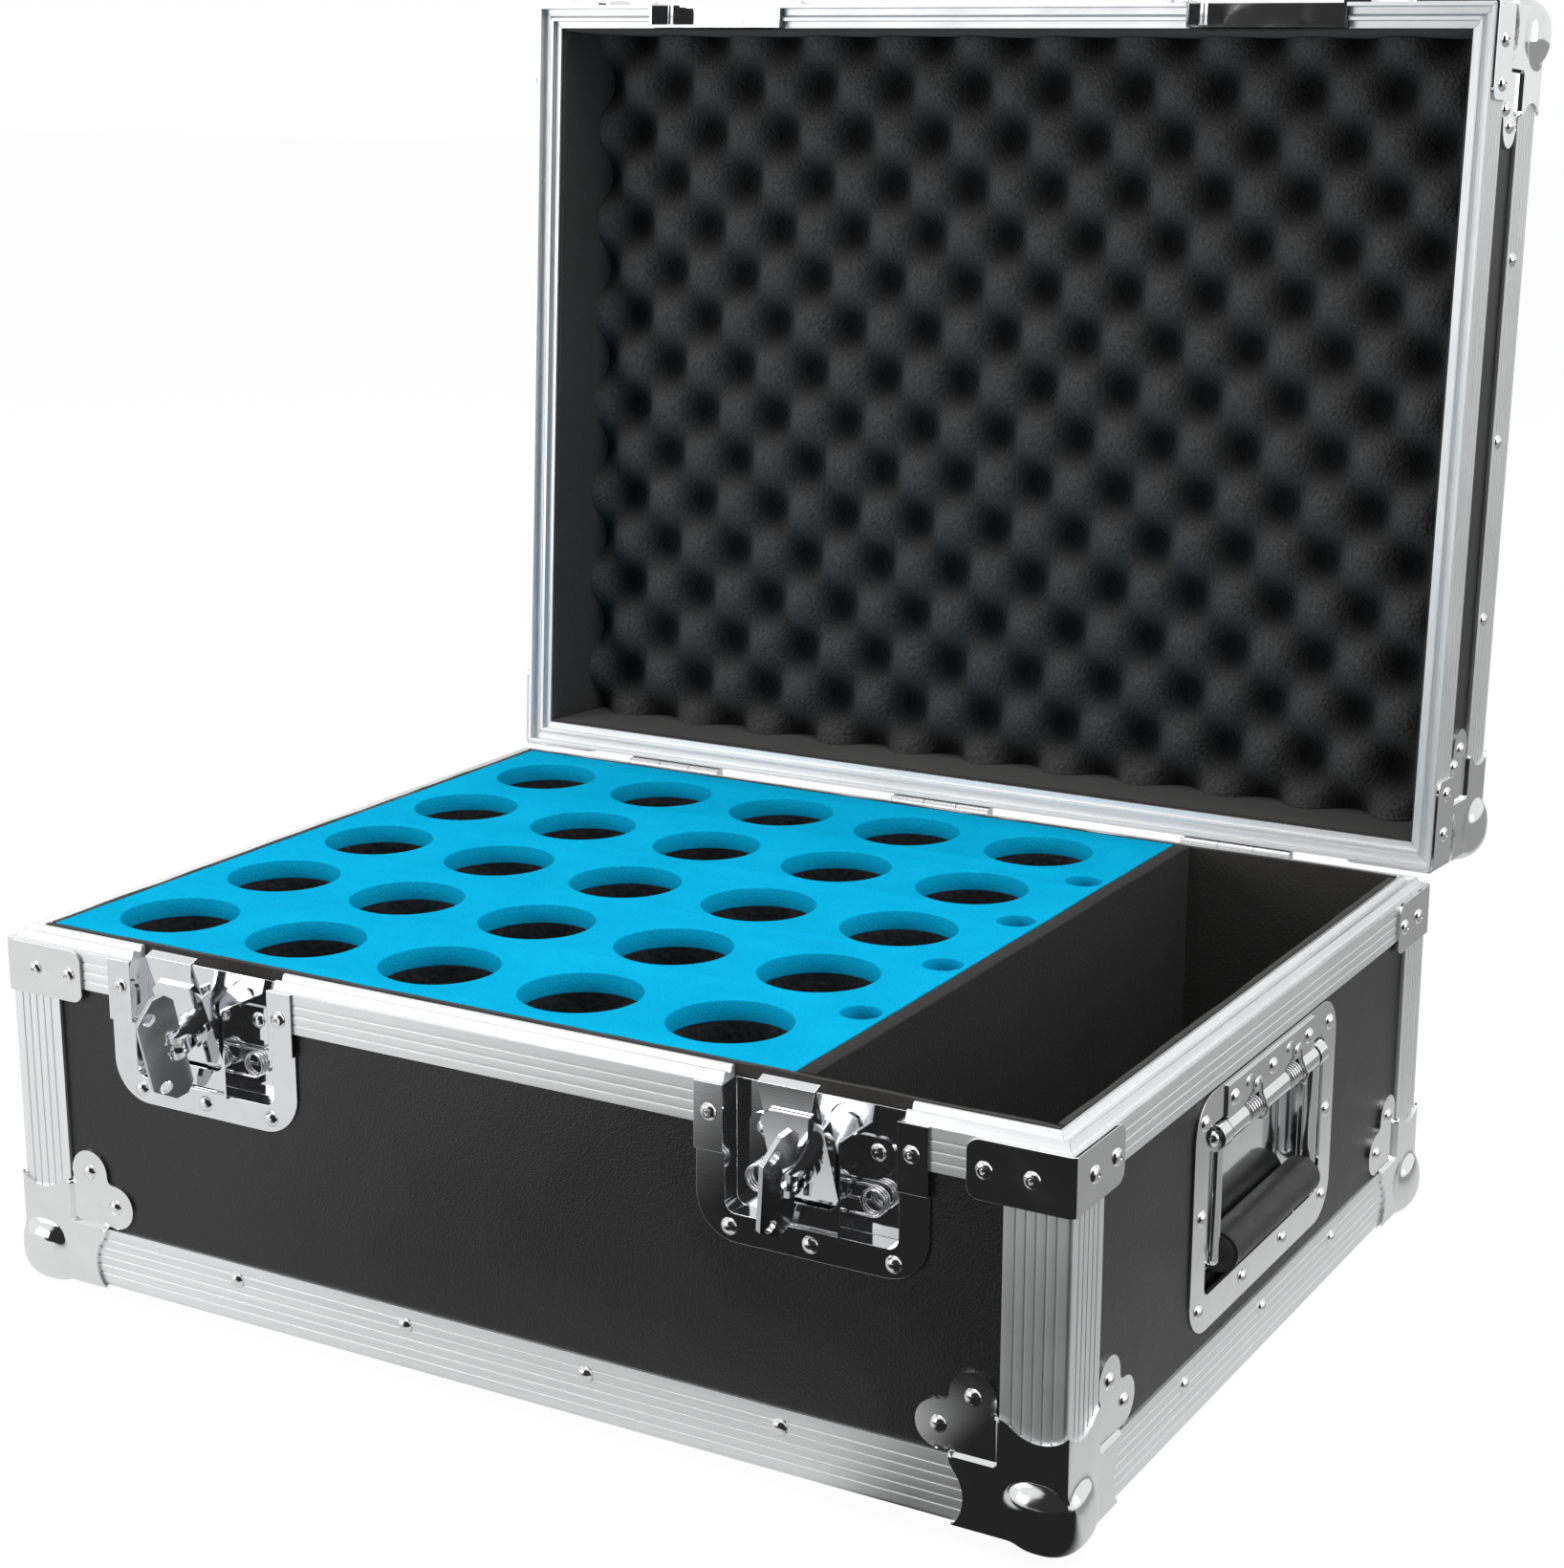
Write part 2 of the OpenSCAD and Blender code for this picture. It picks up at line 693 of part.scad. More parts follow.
module carrier() color("silver") difference() {
    front = latch_t / 2 + gap + latch_t;
    union() {
        sheet(-front, latch_t) polygon([
            [-carrier_out, carrier_foot], [carrier_out, carrier_foot],
            [carrier_out, carrier_top - carrier_chamfer],
            [carrier_out - carrier_chamfer, carrier_top],
            [carrier_chamfer - carrier_out, carrier_top],
            [-carrier_out, carrier_top - carrier_chamfer]]);
        for (s = [0, 1]) mirror([s, 0, 0]) {
            translate([carrier_out - latch_t, -front, carrier_foot])
                cube([latch_t, front + carrier_back, carrier_top - carrier_chamfer - carrier_foot]);
            rotate([0, 90, 0]) translate([0, 0, carrier_out - latch_t])
                cylinder(d = pivot_d, h = 2 * latch_t + gap);
        }
    }
    translate([0, -10, stud_s]) rotate([-90, 0, 0])
        cylinder(d = stud_d + 2 * run_gap, h = 12);
}

module hook() color("silver") difference() {
    union() {
        sheet(-hook_n, latch_t) translate([-hook_w / 2, hook_foot])
            square([hook_w, hook_top - hook_foot]);
        translate([-hook_w / 2, -hook_n, hook_top - 1.5])
            cube([hook_w, latch_t + lip_in, 1.5]);
    }
    // slot that the stud passes through
    sheet(-5, 10) for (z = [0, hook_travel]) translate([0, stud_s + z]) circle(stud_d / 2 + 0.6);
    translate([-stud_d / 2 - 0.6, -5, stud_s]) cube([stud_d + 1.2, 10, hook_travel]);
}

// Stud frame: origin on the hook plate, y inwards along the stud's axis.
module stud() color("gainsboro") difference() {
    front = latch_t / 2 + gap + latch_t;
    union() {
        rotate([-90, 0, 0]) translate([0, 0, hook_n + gap])
            cylinder(d = stud_flange_d, h = stud_flange_t);
        rotate([90, 0, 0]) translate([0, 0, -hook_n - gap])
            cylinder(d = stud_d, h = wing_pin_n + hook_n + gap);
        rotate([90, 0, 0]) translate([0, 0, front + joint_gap])
            cylinder(d = stud_collar_d, h = stud_collar_t);
        // rounded head around the pin
        intersection() {
            translate([0, -wing_pin_n, 0]) cylinder(r = head_r, h = stud_d, center = true);
            rotate([90, 0, 0]) cylinder(d = stud_d, h = wing_pin_n + head_r);
        }
    }
    translate([-stud_d, -wing_pin_n - 2 * head_r, -slot_w / 2])
        cube([2 * stud_d, 3 * head_r, slot_w]);
    translate([0, -wing_pin_n, 0]) cylinder(d = wing_pin_d, h = 2 * stud_d, center = true);
}

module wing_pin() color("silver") translate([0, -wing_pin_n, 0])
    cylinder(d = wing_pin_d, h = stud_d - 2.4, center = true);

// Wing frame: z along the hinge pin, the plate lies in the plane y = 0 towards -x.
module wing() color("silver") difference() {
    half = wing_l / 2;
    out = wing_w - wing_inner;
    union() {
        difference() {
            sheet(-wing_t / 2, wing_t) polygon([
                [wing_inner, half - wing_chamfer / 2], [wing_inner - 4, half],
                [wing_chamfer - out, half], [-out, half - wing_chamfer],
                [-out, wing_chamfer - half], [wing_chamfer - out, -half],
                [wing_inner - 4, -half], [wing_inner, wing_chamfer / 2 - half]]);
            // waist that clears the body and the rounded head of the stud
            sheet(-wing_t, 2 * wing_t) {
                circle(stud_d / 2 + waist_gap);
                square([2 * (head_r + waist_gap), stud_d + 2 * waist_gap], center = true);
            }
        }
        cylinder(d = 7, h = tab_w, center = true);
        translate([-stud_d / 2 - 2, -wing_t / 2, -tab_w / 2])
            cube([stud_d / 2 + 2, wing_t, tab_w]);
    }
    cylinder(d = wing_pin_d + 2 * run_gap, h = 2 * tab_w, center = true);
    for (s = [-1, 1]) sheet(-wing_t, 2 * wing_t)
        translate([-wing_hole_w, s * wing_hole_s]) circle(d = wing_hole_d);
}

module placed_wing(side) stud_frame(side) translate([0, -wing_pin_n, 0])
    rotate([0, 0, fold_rest[side]]) wing();

// Catch in the lid: an open dish with a ledge that the hook comes down on.
module lid_keeper() color("silver") {
    open_dish(lid_h, keeper_h, keeper_recess_h, lid_rim_face, keeper_r);
    translate([-ledge_w / 2, ledge_out, lid_h - ledge_rise - latch_t])
        cube([ledge_w, recess_depth - ledge_out + latch_t / 2, latch_t]);
}

module lid_keepers() lid_frame() front_wall() both_latches() lid_keeper();

module latch_at(side) base_frame() front_wall() translate([(side * 2 - 1) * latch_x, 0, 0]) children();

// ---------------------------------------------------------------- wire forms
// Closed tube of round wire through a list of points.
module wire(path, d, sides = 6) {
    n = len(path);
    dirs = [for (i = [0 : n - 1]) let (a = path[max(i - 1, 0)], b = path[min(i + 1, n - 1)])
        (b - a) / norm(b - a)];
    side = [for (t = dirs) let (c = cross(t, abs(t[1]) < 0.9 ? [0, 1, 0] : [1, 0, 0])) c / norm(c)];
    rings = [for (i = [0 : n - 1]) let (u = side[i], v = cross(dirs[i], u))
        for (k = [0 : sides - 1]) path[i] + d / 2 * (u * cos(360 * k / sides) + v * sin(360 * k / sides))];
    walls = [for (i = [0 : n - 2], k = [0 : sides - 1]) let (j = (k + 1) % sides)
        each [[i * sides + k, i * sides + j, (i + 1) * sides + j],
              [i * sides + k, (i + 1) * sides + j, (i + 1) * sides + k]]];
    ends = [[for (k = [sides - 1 : -1 : 0]) k], [for (k = [0 : sides - 1]) (n - 1) * sides + k]];
    polyhedron(rings, concat(walls, ends), convexity = 6);
}

// Torsion spring at a latch: coil axis along y, one arm up to the bracket, one arm below it.
function latch_spring_path() =
    let (r = spring_d / 2, turns = 2.5, steps = 20, y0 = recess_depth - 1.2 - wire_d / 2)
    concat(
        [[-10.2, y0, r], [-5, y0, r]],
        [for (i = [0 : steps]) let (a = 90 - 360 * turns * i / steps)
            [r * cos(a), y0 - coil_pitch * turns * i / steps, r * sin(a)]],
        [[-5, y0 - coil_pitch * turns, -r], [-10.2, y0 - coil_pitch * turns, -r]]);

// Least gap of a wire to itself, between points that are at least half a turn apart along it.
function self_gap(path, d) = min([for (i = [0 : len(path) - 5], j = [i + 4 : len(path) - 1])
    norm(path[i] - path[j])]) - d;

module latch_spring_pair() for (s = [0, 1]) mirror([s, 0, 0])
    translate([spring_x, 0, base_h - spring_drop]) wire(latch_spring_path(), wire_d);

module latch_springs() color("silver") base_frame() front_wall() both_latches() latch_spring_pair();

// ---------------------------------------------------------------- handle
module handle_pan() color("silver") difference() {
    half = handle_open_l / 2;
    union() {
        sheet(ext_t - handle_sheet, handle_sheet)
            round_rect(-handle_l / 2, handle_low, handle_l / 2, handle_high, handle_r);
        sheet(ext_t - handle_sheet, handle_depth + 2 * handle_sheet - ext_t)
            round_rect(-half - handle_sheet, handle_open_lo - handle_sheet, half + handle_sheet,
                       handle_open_hi + handle_sheet, recess_r + handle_sheet);
    }
    sheet(-5, handle_depth + 5) round_rect(-half, handle_open_lo, half, handle_open_hi, recess_r);
}

// Bar over the top of the dish, with a barrel rolled around the hinge rod.
module handle_bar() color("silver") difference() {
    y = ext_t - handle_sheet - bar_t;
    union() {
        sheet(y, bar_t) round_foot(bar_l / 2, rod_z + 1, rod_z + barrel_d / 2 + bar_h - 2, 1);
        translate([0, rod_t, rod_z]) rotate([0, 90, 0])
            cylinder(d = barrel_d, h = bar_l, center = true);
    }
    translate([0, rod_t, rod_z]) rotate([0, 90, 0])
        cylinder(d = rod_d + 2 * run_gap, h = bar_l + 2, center = true);
    // windows for the springs
    for (s = [-1, 1]) translate([s * window_x - window_l / 2, -15, rod_z - 15])
        cube([window_l, 30, 15 + barrel_d / 2 + 0.6]);
}

module handle_rod() color("silver") translate([0, rod_t, rod_z]) rotate([0, 90, 0]) {
    cylinder(d = rod_d, h = 2 * rod_half, center = true);
    for (s = [0, 1]) mirror([0, 0, s]) translate([0, 0, rod_half]) rivet(rod_d, 2.5);
}

module bail() color("silver") translate([0, rod_t, rod_z]) difference() {
    union() {
        for (s = [-1, 1]) translate([s * bail_w / 2, 0, 0]) {
            rotate([0, 90, 0]) cylinder(d = eye_d, h = eye_l, center = true);
            translate([0, 0, -bail_drop]) cylinder(d = bail_d, h = bail_drop - rod_d / 2 - 1);
            translate([0, 0, -bail_drop]) sphere(d = bail_d);
        }
        translate([0, 0, -bail_drop]) rotate([0, 90, 0])
            cylinder(d = bail_d, h = bail_w, center = true);
    }
    for (s = [-1, 1]) translate([s * bail_w / 2, 0, 0]) rotate([0, 90, 0])
        cylinder(d = rod_d + 2 * run_gap, h = eye_l + 2, center = true);
}

module grip() color("#202022") translate([0, rod_t, rod_z - bail_drop]) rotate([0, 90, 0])
    difference() {
        union() {
            cylinder(d = grip_d, h = grip_l - 4, center = true);
            cylinder(d = grip_d - 3, h = grip_l, center = true);
        }
        cylinder(d = bail_d + 2 * run_gap, h = grip_l + 2, center = true);
    }

// Torsion spring on the hinge rod, with a hooked tail over the bar.
function handle_spring_path() =
    let (r = rod_d / 2 + 0.6 + wire_d / 2, steps = handle_coils * 8, lift = bar_rivet_z - rod_z)
    concat(
        [for (i = [0 : steps]) let (a = 270 + 360 * handle_coils * i / steps)
            [handle_pitch * (i / 8 - handle_coils / 2), rod_t + r * cos(a), rod_z + r * sin(a)]],
        [[handle_pitch * handle_coils / 2, rod_t - r - 1.6, rod_z - r + 1],
         [handle_pitch * handle_coils / 2, rod_t - r - 2.6, rod_z],
         [handle_pitch * handle_coils / 2, -2.4, rod_z + lift / 2]],
        [for (a = [0 : 30 : 180]) [handle_pitch * handle_coils / 2 - 4 + 4 * cos(a), -2.4,
                                   rod_z + lift - 2 + 4 * sin(a)]]);

module handle_spring_pair() for (x = [-window_x, window_x])
    translate([x, 0, 0]) wire(handle_spring_path(), wire_d);

module handle_springs() color("silver") base_frame() {
    right_wall() handle_spring_pair();
    left_wall() handle_spring_pair();
}

module handle_hinge_rods() base_frame() {
    right_wall() handle_rod();
    left_wall() handle_rod();
}

// ---------------------------------------------------------------- hinges
// Hinge frame: x along the axis, y from it towards the case, z up.
module hinge_places() back_wall() for (h = [-1 : 1])
    translate([h * hinge_pitch, -hinge_out, 0]) children();

module hinge_bore() rotate([0, 90, 0]) cylinder(d = pin_d + 2 * run_gap, h = hinge_w + 2, center = true);

module knuckle(x, l) translate([x, 0, 0]) rotate([0, 90, 0])
    cylinder(d = knuckle_d, h = l, center = true);

// Leaf of a hinge. The own knuckles stand on it; it is cut back under the other leaf's.
module hinge_leaf(own, other, reach) difference() {
    near = hinge_out - hinge_leaf_t;
    union() {
        translate([-hinge_w / 2, near, -hinge_leaf_h]) cube([hinge_w, hinge_leaf_t, hinge_leaf_h - reach]);
        for (x = own) {
            translate([x - knuckle_l / 2, near, -reach - 3])
                cube([knuckle_l, hinge_leaf_t - 0.2, reach + 2.8]);
            knuckle(x, knuckle_l);
        }
    }
    for (x = other) translate([x, 0, 0]) rotate([0, 90, 0])
        cylinder(d = knuckle_d + 2 * gap, h = knuckle_l + 0.8, center = true);
    hinge_bore();
}

module hinge_base_leaves() color("silver") base_frame() hinge_places()
    translate([0, 0, base_h + hinge_rise])
        hinge_leaf([0], [-hinge_w / 3, hinge_w / 3], hinge_rise + gap);

module hinge_lid_leaves() color("silver") lid_pose() base_frame() hinge_places()
    translate([0, 0, base_h + hinge_rise]) mirror([0, 0, 1])
        hinge_leaf([-hinge_w / 3, hinge_w / 3], [0], gap);

module hinge_pins() color("silver") base_frame() hinge_places()
    translate([0, 0, base_h + hinge_rise]) rotate([0, 90, 0]) {
        cylinder(d = pin_d, h = hinge_w, center = true);
        translate([0, 0, hinge_w / 2 + gap]) cylinder(d = pin_head_d, h = pin_head_t);
        translate([0, 0, hinge_w / 2 - 1]) cylinder(d = pin_d, h = 2);
    }

// ---------------------------------------------------------------- insert
// Lining board along a wall, outside depth out, inside depth in, from low to high.
module board(length, out, inner, low, high) translate([-length / 2, out, low])
    cube([length, inner - out, high - low]);

module base_lining() color("#232323") base_frame() {
    out = leaf_in + 0.1;
    difference() {
        front_wall() lining_board(case_w - 2 * out, out);
        front_wall() both_latches() translate([-cut_in - 0.5, out - 1, base_h - recess_h - 3])
            cube([2 * cut_in + 1, recess_depth + latch_t + gap / 2 - out + 1, recess_h + 30]);
        divider_board_solid(gap);
    }
    back_wall() lining_board(case_w - 2 * out, out);
    for (s = [0, 1]) mirror([s, 0, 0]) right_wall() difference() {
        lining_board(case_d - 2 * lining_in - 2 * joint_gap, out);
        handle_cut();
    }
}

// The board steps in below the rim, so that the ridge of the rim passes outside it.
module lining_board(length, out) {
    board(length, out, lining_in, leaf_in + 0.1, base_h - rim_web - 0.1);
    board(min(length, length - 2 * (ridge_in + 0.2 - out)), ridge_in + 0.2, lining_in,
          base_h - rim_web - 0.2, foam_top);
}

module floor_pad() color("#232323") base_frame() {
    in = lining_in + 0.1;
    leaf = slot_in + leaf_lap + 0.2;
    translate([in - case_w / 2, in - case_d / 2, leaf_in + 0.1])
        cube([case_w - 2 * in, case_d - 2 * in, floor_z - leaf_in - 0.1]);
    translate([leaf - case_w / 2, leaf - case_d / 2, slot_in])
        cube([case_w - 2 * leaf, case_d - 2 * leaf, floor_t]);
}

// Middle of every socket of one size.
module socket_places() translate([foam_l + socket_margin, -socket_shift, 0])
    for (i = [0 : socket_cols - 1], j = [0 : socket_rows - 1])
        translate([i * socket_pitch, (j - (socket_rows - 1) / 2) * socket_pitch, 0]) children();

module small_places() translate([foam_r - small_margin, -socket_shift, 0])
    for (j = [0 : socket_rows - 2])
        translate([0, (j - (socket_rows - 2) / 2) * socket_pitch, 0]) children();

module socket_bores() translate([0, 0, foam_top - socket_depth - 1]) {
    socket_places() cylinder(d = socket_d, h = socket_depth + 2);
    small_places() cylinder(d = small_d, h = socket_depth + 2);
}

module foam_slab(low, high) difference() {
    translate([foam_l, -foam_half, low]) cube([foam_r - foam_l, 2 * foam_half, high - low]);
    socket_bores();
}

// The sockets go right through the block and end on the foam base under it.
module foam_block() color("#262628") base_frame() foam_slab(foam_top - socket_depth, block_top);
module foam_base() color("#262628") base_frame() translate([foam_l, -foam_half, floor_z + joint_gap])
    cube([foam_r - foam_l, 2 * foam_half, foam_top - socket_depth - floor_z - 2 * joint_gap]);
module blue_sheet() color("deepskyblue") base_frame() foam_slab(block_top, foam_top);

module divider_board_solid(grow = 0) {
    y = case_d / 2 - ridge_in - 0.8;
    translate([divider_l + cover_t - grow, -y - grow, floor_z + joint_gap - grow])
        cube([board_t + 2 * grow, y + foam_half - cover_t + 2 * grow,
              foam_top - board_drop - floor_z + 4 * grow]);
}

module divider() color("sienna") base_frame() divider_board_solid();

module divider_cover() color("#2a2826") base_frame() difference() {
    translate([divider_l, -foam_half, floor_z + joint_gap])
        cube([board_t + 2 * cover_t, 2 * foam_half, foam_top - floor_z]);
    divider_board_solid(joint_gap);
}

module lid_lining_board(length)
    board(length, leaf_in + 0.1, lid_lining_in, leaf_in + 0.1, lid_h - lid_web - 0.2);

module lid_lining() color("#232323") lid_frame() {
    out = leaf_in + 0.1;
    difference() {
        front_wall() lid_lining_board(case_w - 2 * out);
        front_wall() both_latches() translate([-cut_in - 0.5, out - 1, lid_h - keeper_recess_h - 3])
            cube([2 * cut_in + 1, recess_depth + latch_t + gap / 2 - out + 1, 60]);
    }
    back_wall() lid_lining_board(case_w - 2 * out);
    for (s = [0, 1]) mirror([s, 0, 0]) right_wall()
        lid_lining_board(case_d - 2 * lid_lining_in - 2 * joint_gap);
}

// Egg-crate pad: alternate corners of the grid are peaks and hollows. Its points are the grid, the
// middles of the cells, the same grid's edge on the back, and the middle of the back.
module egg_crate_pad() color("#1f1f21") lid_frame() {
    nx = round(2 * egg_w / egg_pitch_w);
    ny = round(2 * egg_d / egg_pitch_d);
    low = lid_h - egg_back;
    mid = lid_h - egg_peak - egg_wave / 2;
    row = nx + 1;
    top = [for (j = [0 : ny], i = [0 : nx])
        [(i / nx - 0.5) * egg_w, (j / ny - 0.5) * egg_d,
         mid + egg_wave / 2 * ((i + j) % 2 == 0 ? 1 : -1)]];
    saddles = [for (j = [0 : ny - 1], i = [0 : nx - 1])
        [((i + 0.5) / nx - 0.5) * egg_w, ((j + 0.5) / ny - 0.5) * egg_d, mid]];
    rim = concat([for (i = [0 : nx - 1]) i], [for (j = [0 : ny - 1]) j * row + nx],
                 [for (i = [nx : -1 : 1]) ny * row + i], [for (j = [ny : -1 : 1]) j * row]);
    back = [for (r = rim) [top[r][0], top[r][1], low]];
    c0 = len(top);
    b0 = c0 + len(saddles);
    n = len(rim);
    cells = [for (j = [0 : ny - 1], i = [0 : nx - 1])
        let (c = c0 + j * nx + i, a = j * row + i, b = a + 1, d = a + row, e = d + 1)
        each [[a, c, b], [b, c, e], [e, c, d], [d, c, a]]];
    sides = [for (k = [0 : n - 1]) let (m = (k + 1) % n)
        each [[rim[k], rim[m], b0 + m], [rim[k], b0 + m, b0 + k]]];
    backs = [for (k = [0 : n - 1]) [b0 + k, b0 + (k + 1) % n, b0 + n]];
    polyhedron(concat(top, saddles, back, [[0, 0, low]]), concat(cells, sides, backs), convexity = 8);
}

echo(latch_spring_gap = self_gap(latch_spring_path(), wire_d));
echo(handle_spring_gap = self_gap(handle_spring_path(), wire_d));

base_panel_front();
base_panel_back();
base_panel_left();
base_panel_right();
base_panel_bottom();
lid_panel_front();
lid_panel_back();
lid_panel_left();
lid_panel_right();
lid_panel_top();
base_rim_extrusions();
base_frame() edge_bars();  // base_bottom_extrusions
base_frame() upright_bars(base_h, rim_face);  // base_corner_extrusions
lid_rim_extrusions();
lid_frame() edge_bars();  // lid_top_extrusions
lid_frame() upright_bars(lid_h, lid_rim_face);  // lid_corner_extrusions
base_frame() corner_brackets(base_h, bracket_h);  // base_corner_brackets
lid_frame() corner_brackets(lid_h, lid_bracket_h);  // lid_corner_brackets
base_frame() ball_corners();  // base_ball_corners
lid_frame() low_ball_corners();  // lid_ball_corners
base_rivets();
lid_rivets();
latch_at(0) dish();  // latch_left_dish
latch_at(0) latch_bracket();  // latch_left_bracket
latch_at(0) carrier_frame() carrier();  // latch_left_carrier
latch_at(0) carrier_frame() hook();  // latch_left_hook
latch_at(0) stud_frame(0) stud();  // latch_left_stud
latch_at(0) placed_wing(0);  // latch_left_wing
latch_at(0) stud_frame(0) wing_pin();  // latch_left_wing_pin
latch_at(1) dish();  // latch_right_dish
latch_at(1) latch_bracket();  // latch_right_bracket
latch_at(1) carrier_frame() carrier();  // latch_right_carrier
latch_at(1) carrier_frame() hook();  // latch_right_hook
latch_at(1) stud_frame(1) stud();  // latch_right_stud
latch_at(1) placed_wing(1);  // latch_right_wing
latch_at(1) stud_frame(1) wing_pin();  // latch_right_wing_pin
latch_springs();
lid_keepers();
base_frame() right_wall() handle_pan();  // handle_right_dish
base_frame() right_wall() handle_bar();  // handle_right_bar
base_frame() right_wall() bail();  // handle_right_bail
base_frame() right_wall() grip();  // handle_right_grip
base_frame() left_wall() handle_pan();  // handle_left_dish
base_frame() left_wall() handle_bar();  // handle_left_bar
base_frame() left_wall() bail();  // handle_left_bail
base_frame() left_wall() grip();  // handle_left_grip
handle_hinge_rods();
handle_springs();
hinge_base_leaves();
hinge_lid_leaves();
hinge_pins();
base_lining();
floor_pad();
foam_base();
foam_block();
blue_sheet();
divider();
divider_cover();
lid_lining();
egg_crate_pad();
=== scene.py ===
"""Looks of a microphone case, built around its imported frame. Lengths are in metres."""

import json
import math

import bmesh
import bpy
import numpy as np
from mathutils import Matrix, Vector, geometry, noise


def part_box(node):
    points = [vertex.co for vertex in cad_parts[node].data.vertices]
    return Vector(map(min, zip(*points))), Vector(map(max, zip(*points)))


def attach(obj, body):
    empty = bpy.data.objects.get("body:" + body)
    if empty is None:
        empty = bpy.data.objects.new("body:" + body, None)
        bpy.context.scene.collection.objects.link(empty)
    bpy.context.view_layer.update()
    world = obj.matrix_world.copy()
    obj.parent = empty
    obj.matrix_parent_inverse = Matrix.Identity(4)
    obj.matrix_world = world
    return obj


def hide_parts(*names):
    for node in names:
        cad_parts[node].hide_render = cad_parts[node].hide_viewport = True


MM = 0.001

# The foam's waves come from noise vectors, which are the same in every run only with a set seed.
noise.seed_set(7)

# ---------------------------------------------------------------- the frame
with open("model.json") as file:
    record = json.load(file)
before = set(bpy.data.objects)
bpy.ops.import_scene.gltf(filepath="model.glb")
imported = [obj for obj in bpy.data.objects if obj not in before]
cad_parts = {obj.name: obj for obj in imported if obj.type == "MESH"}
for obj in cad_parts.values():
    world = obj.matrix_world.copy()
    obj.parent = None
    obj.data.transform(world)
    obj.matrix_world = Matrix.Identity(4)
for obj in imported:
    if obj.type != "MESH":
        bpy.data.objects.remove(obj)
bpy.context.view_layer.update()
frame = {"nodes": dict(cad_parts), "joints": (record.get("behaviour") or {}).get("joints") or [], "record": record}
NODES = frame["nodes"]

# Outside sizes of the closed case. The rim is where base and lid meet, FOOT the ball corners' height.
CASE_W, CASE_D = 560 * MM, 430 * MM
RIM_Z = 177 * MM
FOOT = 7.0 * MM
WELD = 0.004 * MM

JOINTS = {j["name"]: j for j in frame["joints"]}
LID_AXIS = Vector(JOINTS["lid_hinge"]["pos_m"])
LID_TURN = math.radians(JOINTS["lid_hinge"]["range_deg"][1])
# Takes a point of the closed lid to where it is at rest, when the lid is open.
OPEN_LID = (
    Matrix.Translation(LID_AXIS) @ Matrix.Rotation(-LID_TURN, 4, "X") @ Matrix.Translation(-LID_AXIS)
)
CLOSE_LID = OPEN_LID.inverted()

# Depths of the egg-crate pad below the closed lid's top.
LID_TOP_Z = RIM_Z + 80 * MM
EGG_OUT_LOW, EGG_HOLLOW, EGG_PEAK = 10.7 * MM, 20.0 * MM, 37.0 * MM
EGG_HALF_PITCH = (24.0 * MM, 26.7 * MM)

# The camera, fitted to the case's straight edges. IMAGE_W_PX is the photograph's width.
CAMERA_PLACE = Vector((711.2, -1181.7, 599.3)) * MM
CAMERA_AIM = Vector((-0.4865, 0.8367, -0.2515))
CAMERA_FOCAL_PX = 3044.0
IMAGE_W_PX = 1636.0
SENSOR_MM = 36.0


# ---------------------------------------------------------------- materials
def feed(socket, value):
    """Links a socket to another node's output, or gives it a plain value."""
    if hasattr(value, "node"):
        socket.id_data.links.new(value, socket)
    else:
        socket.default_value = value


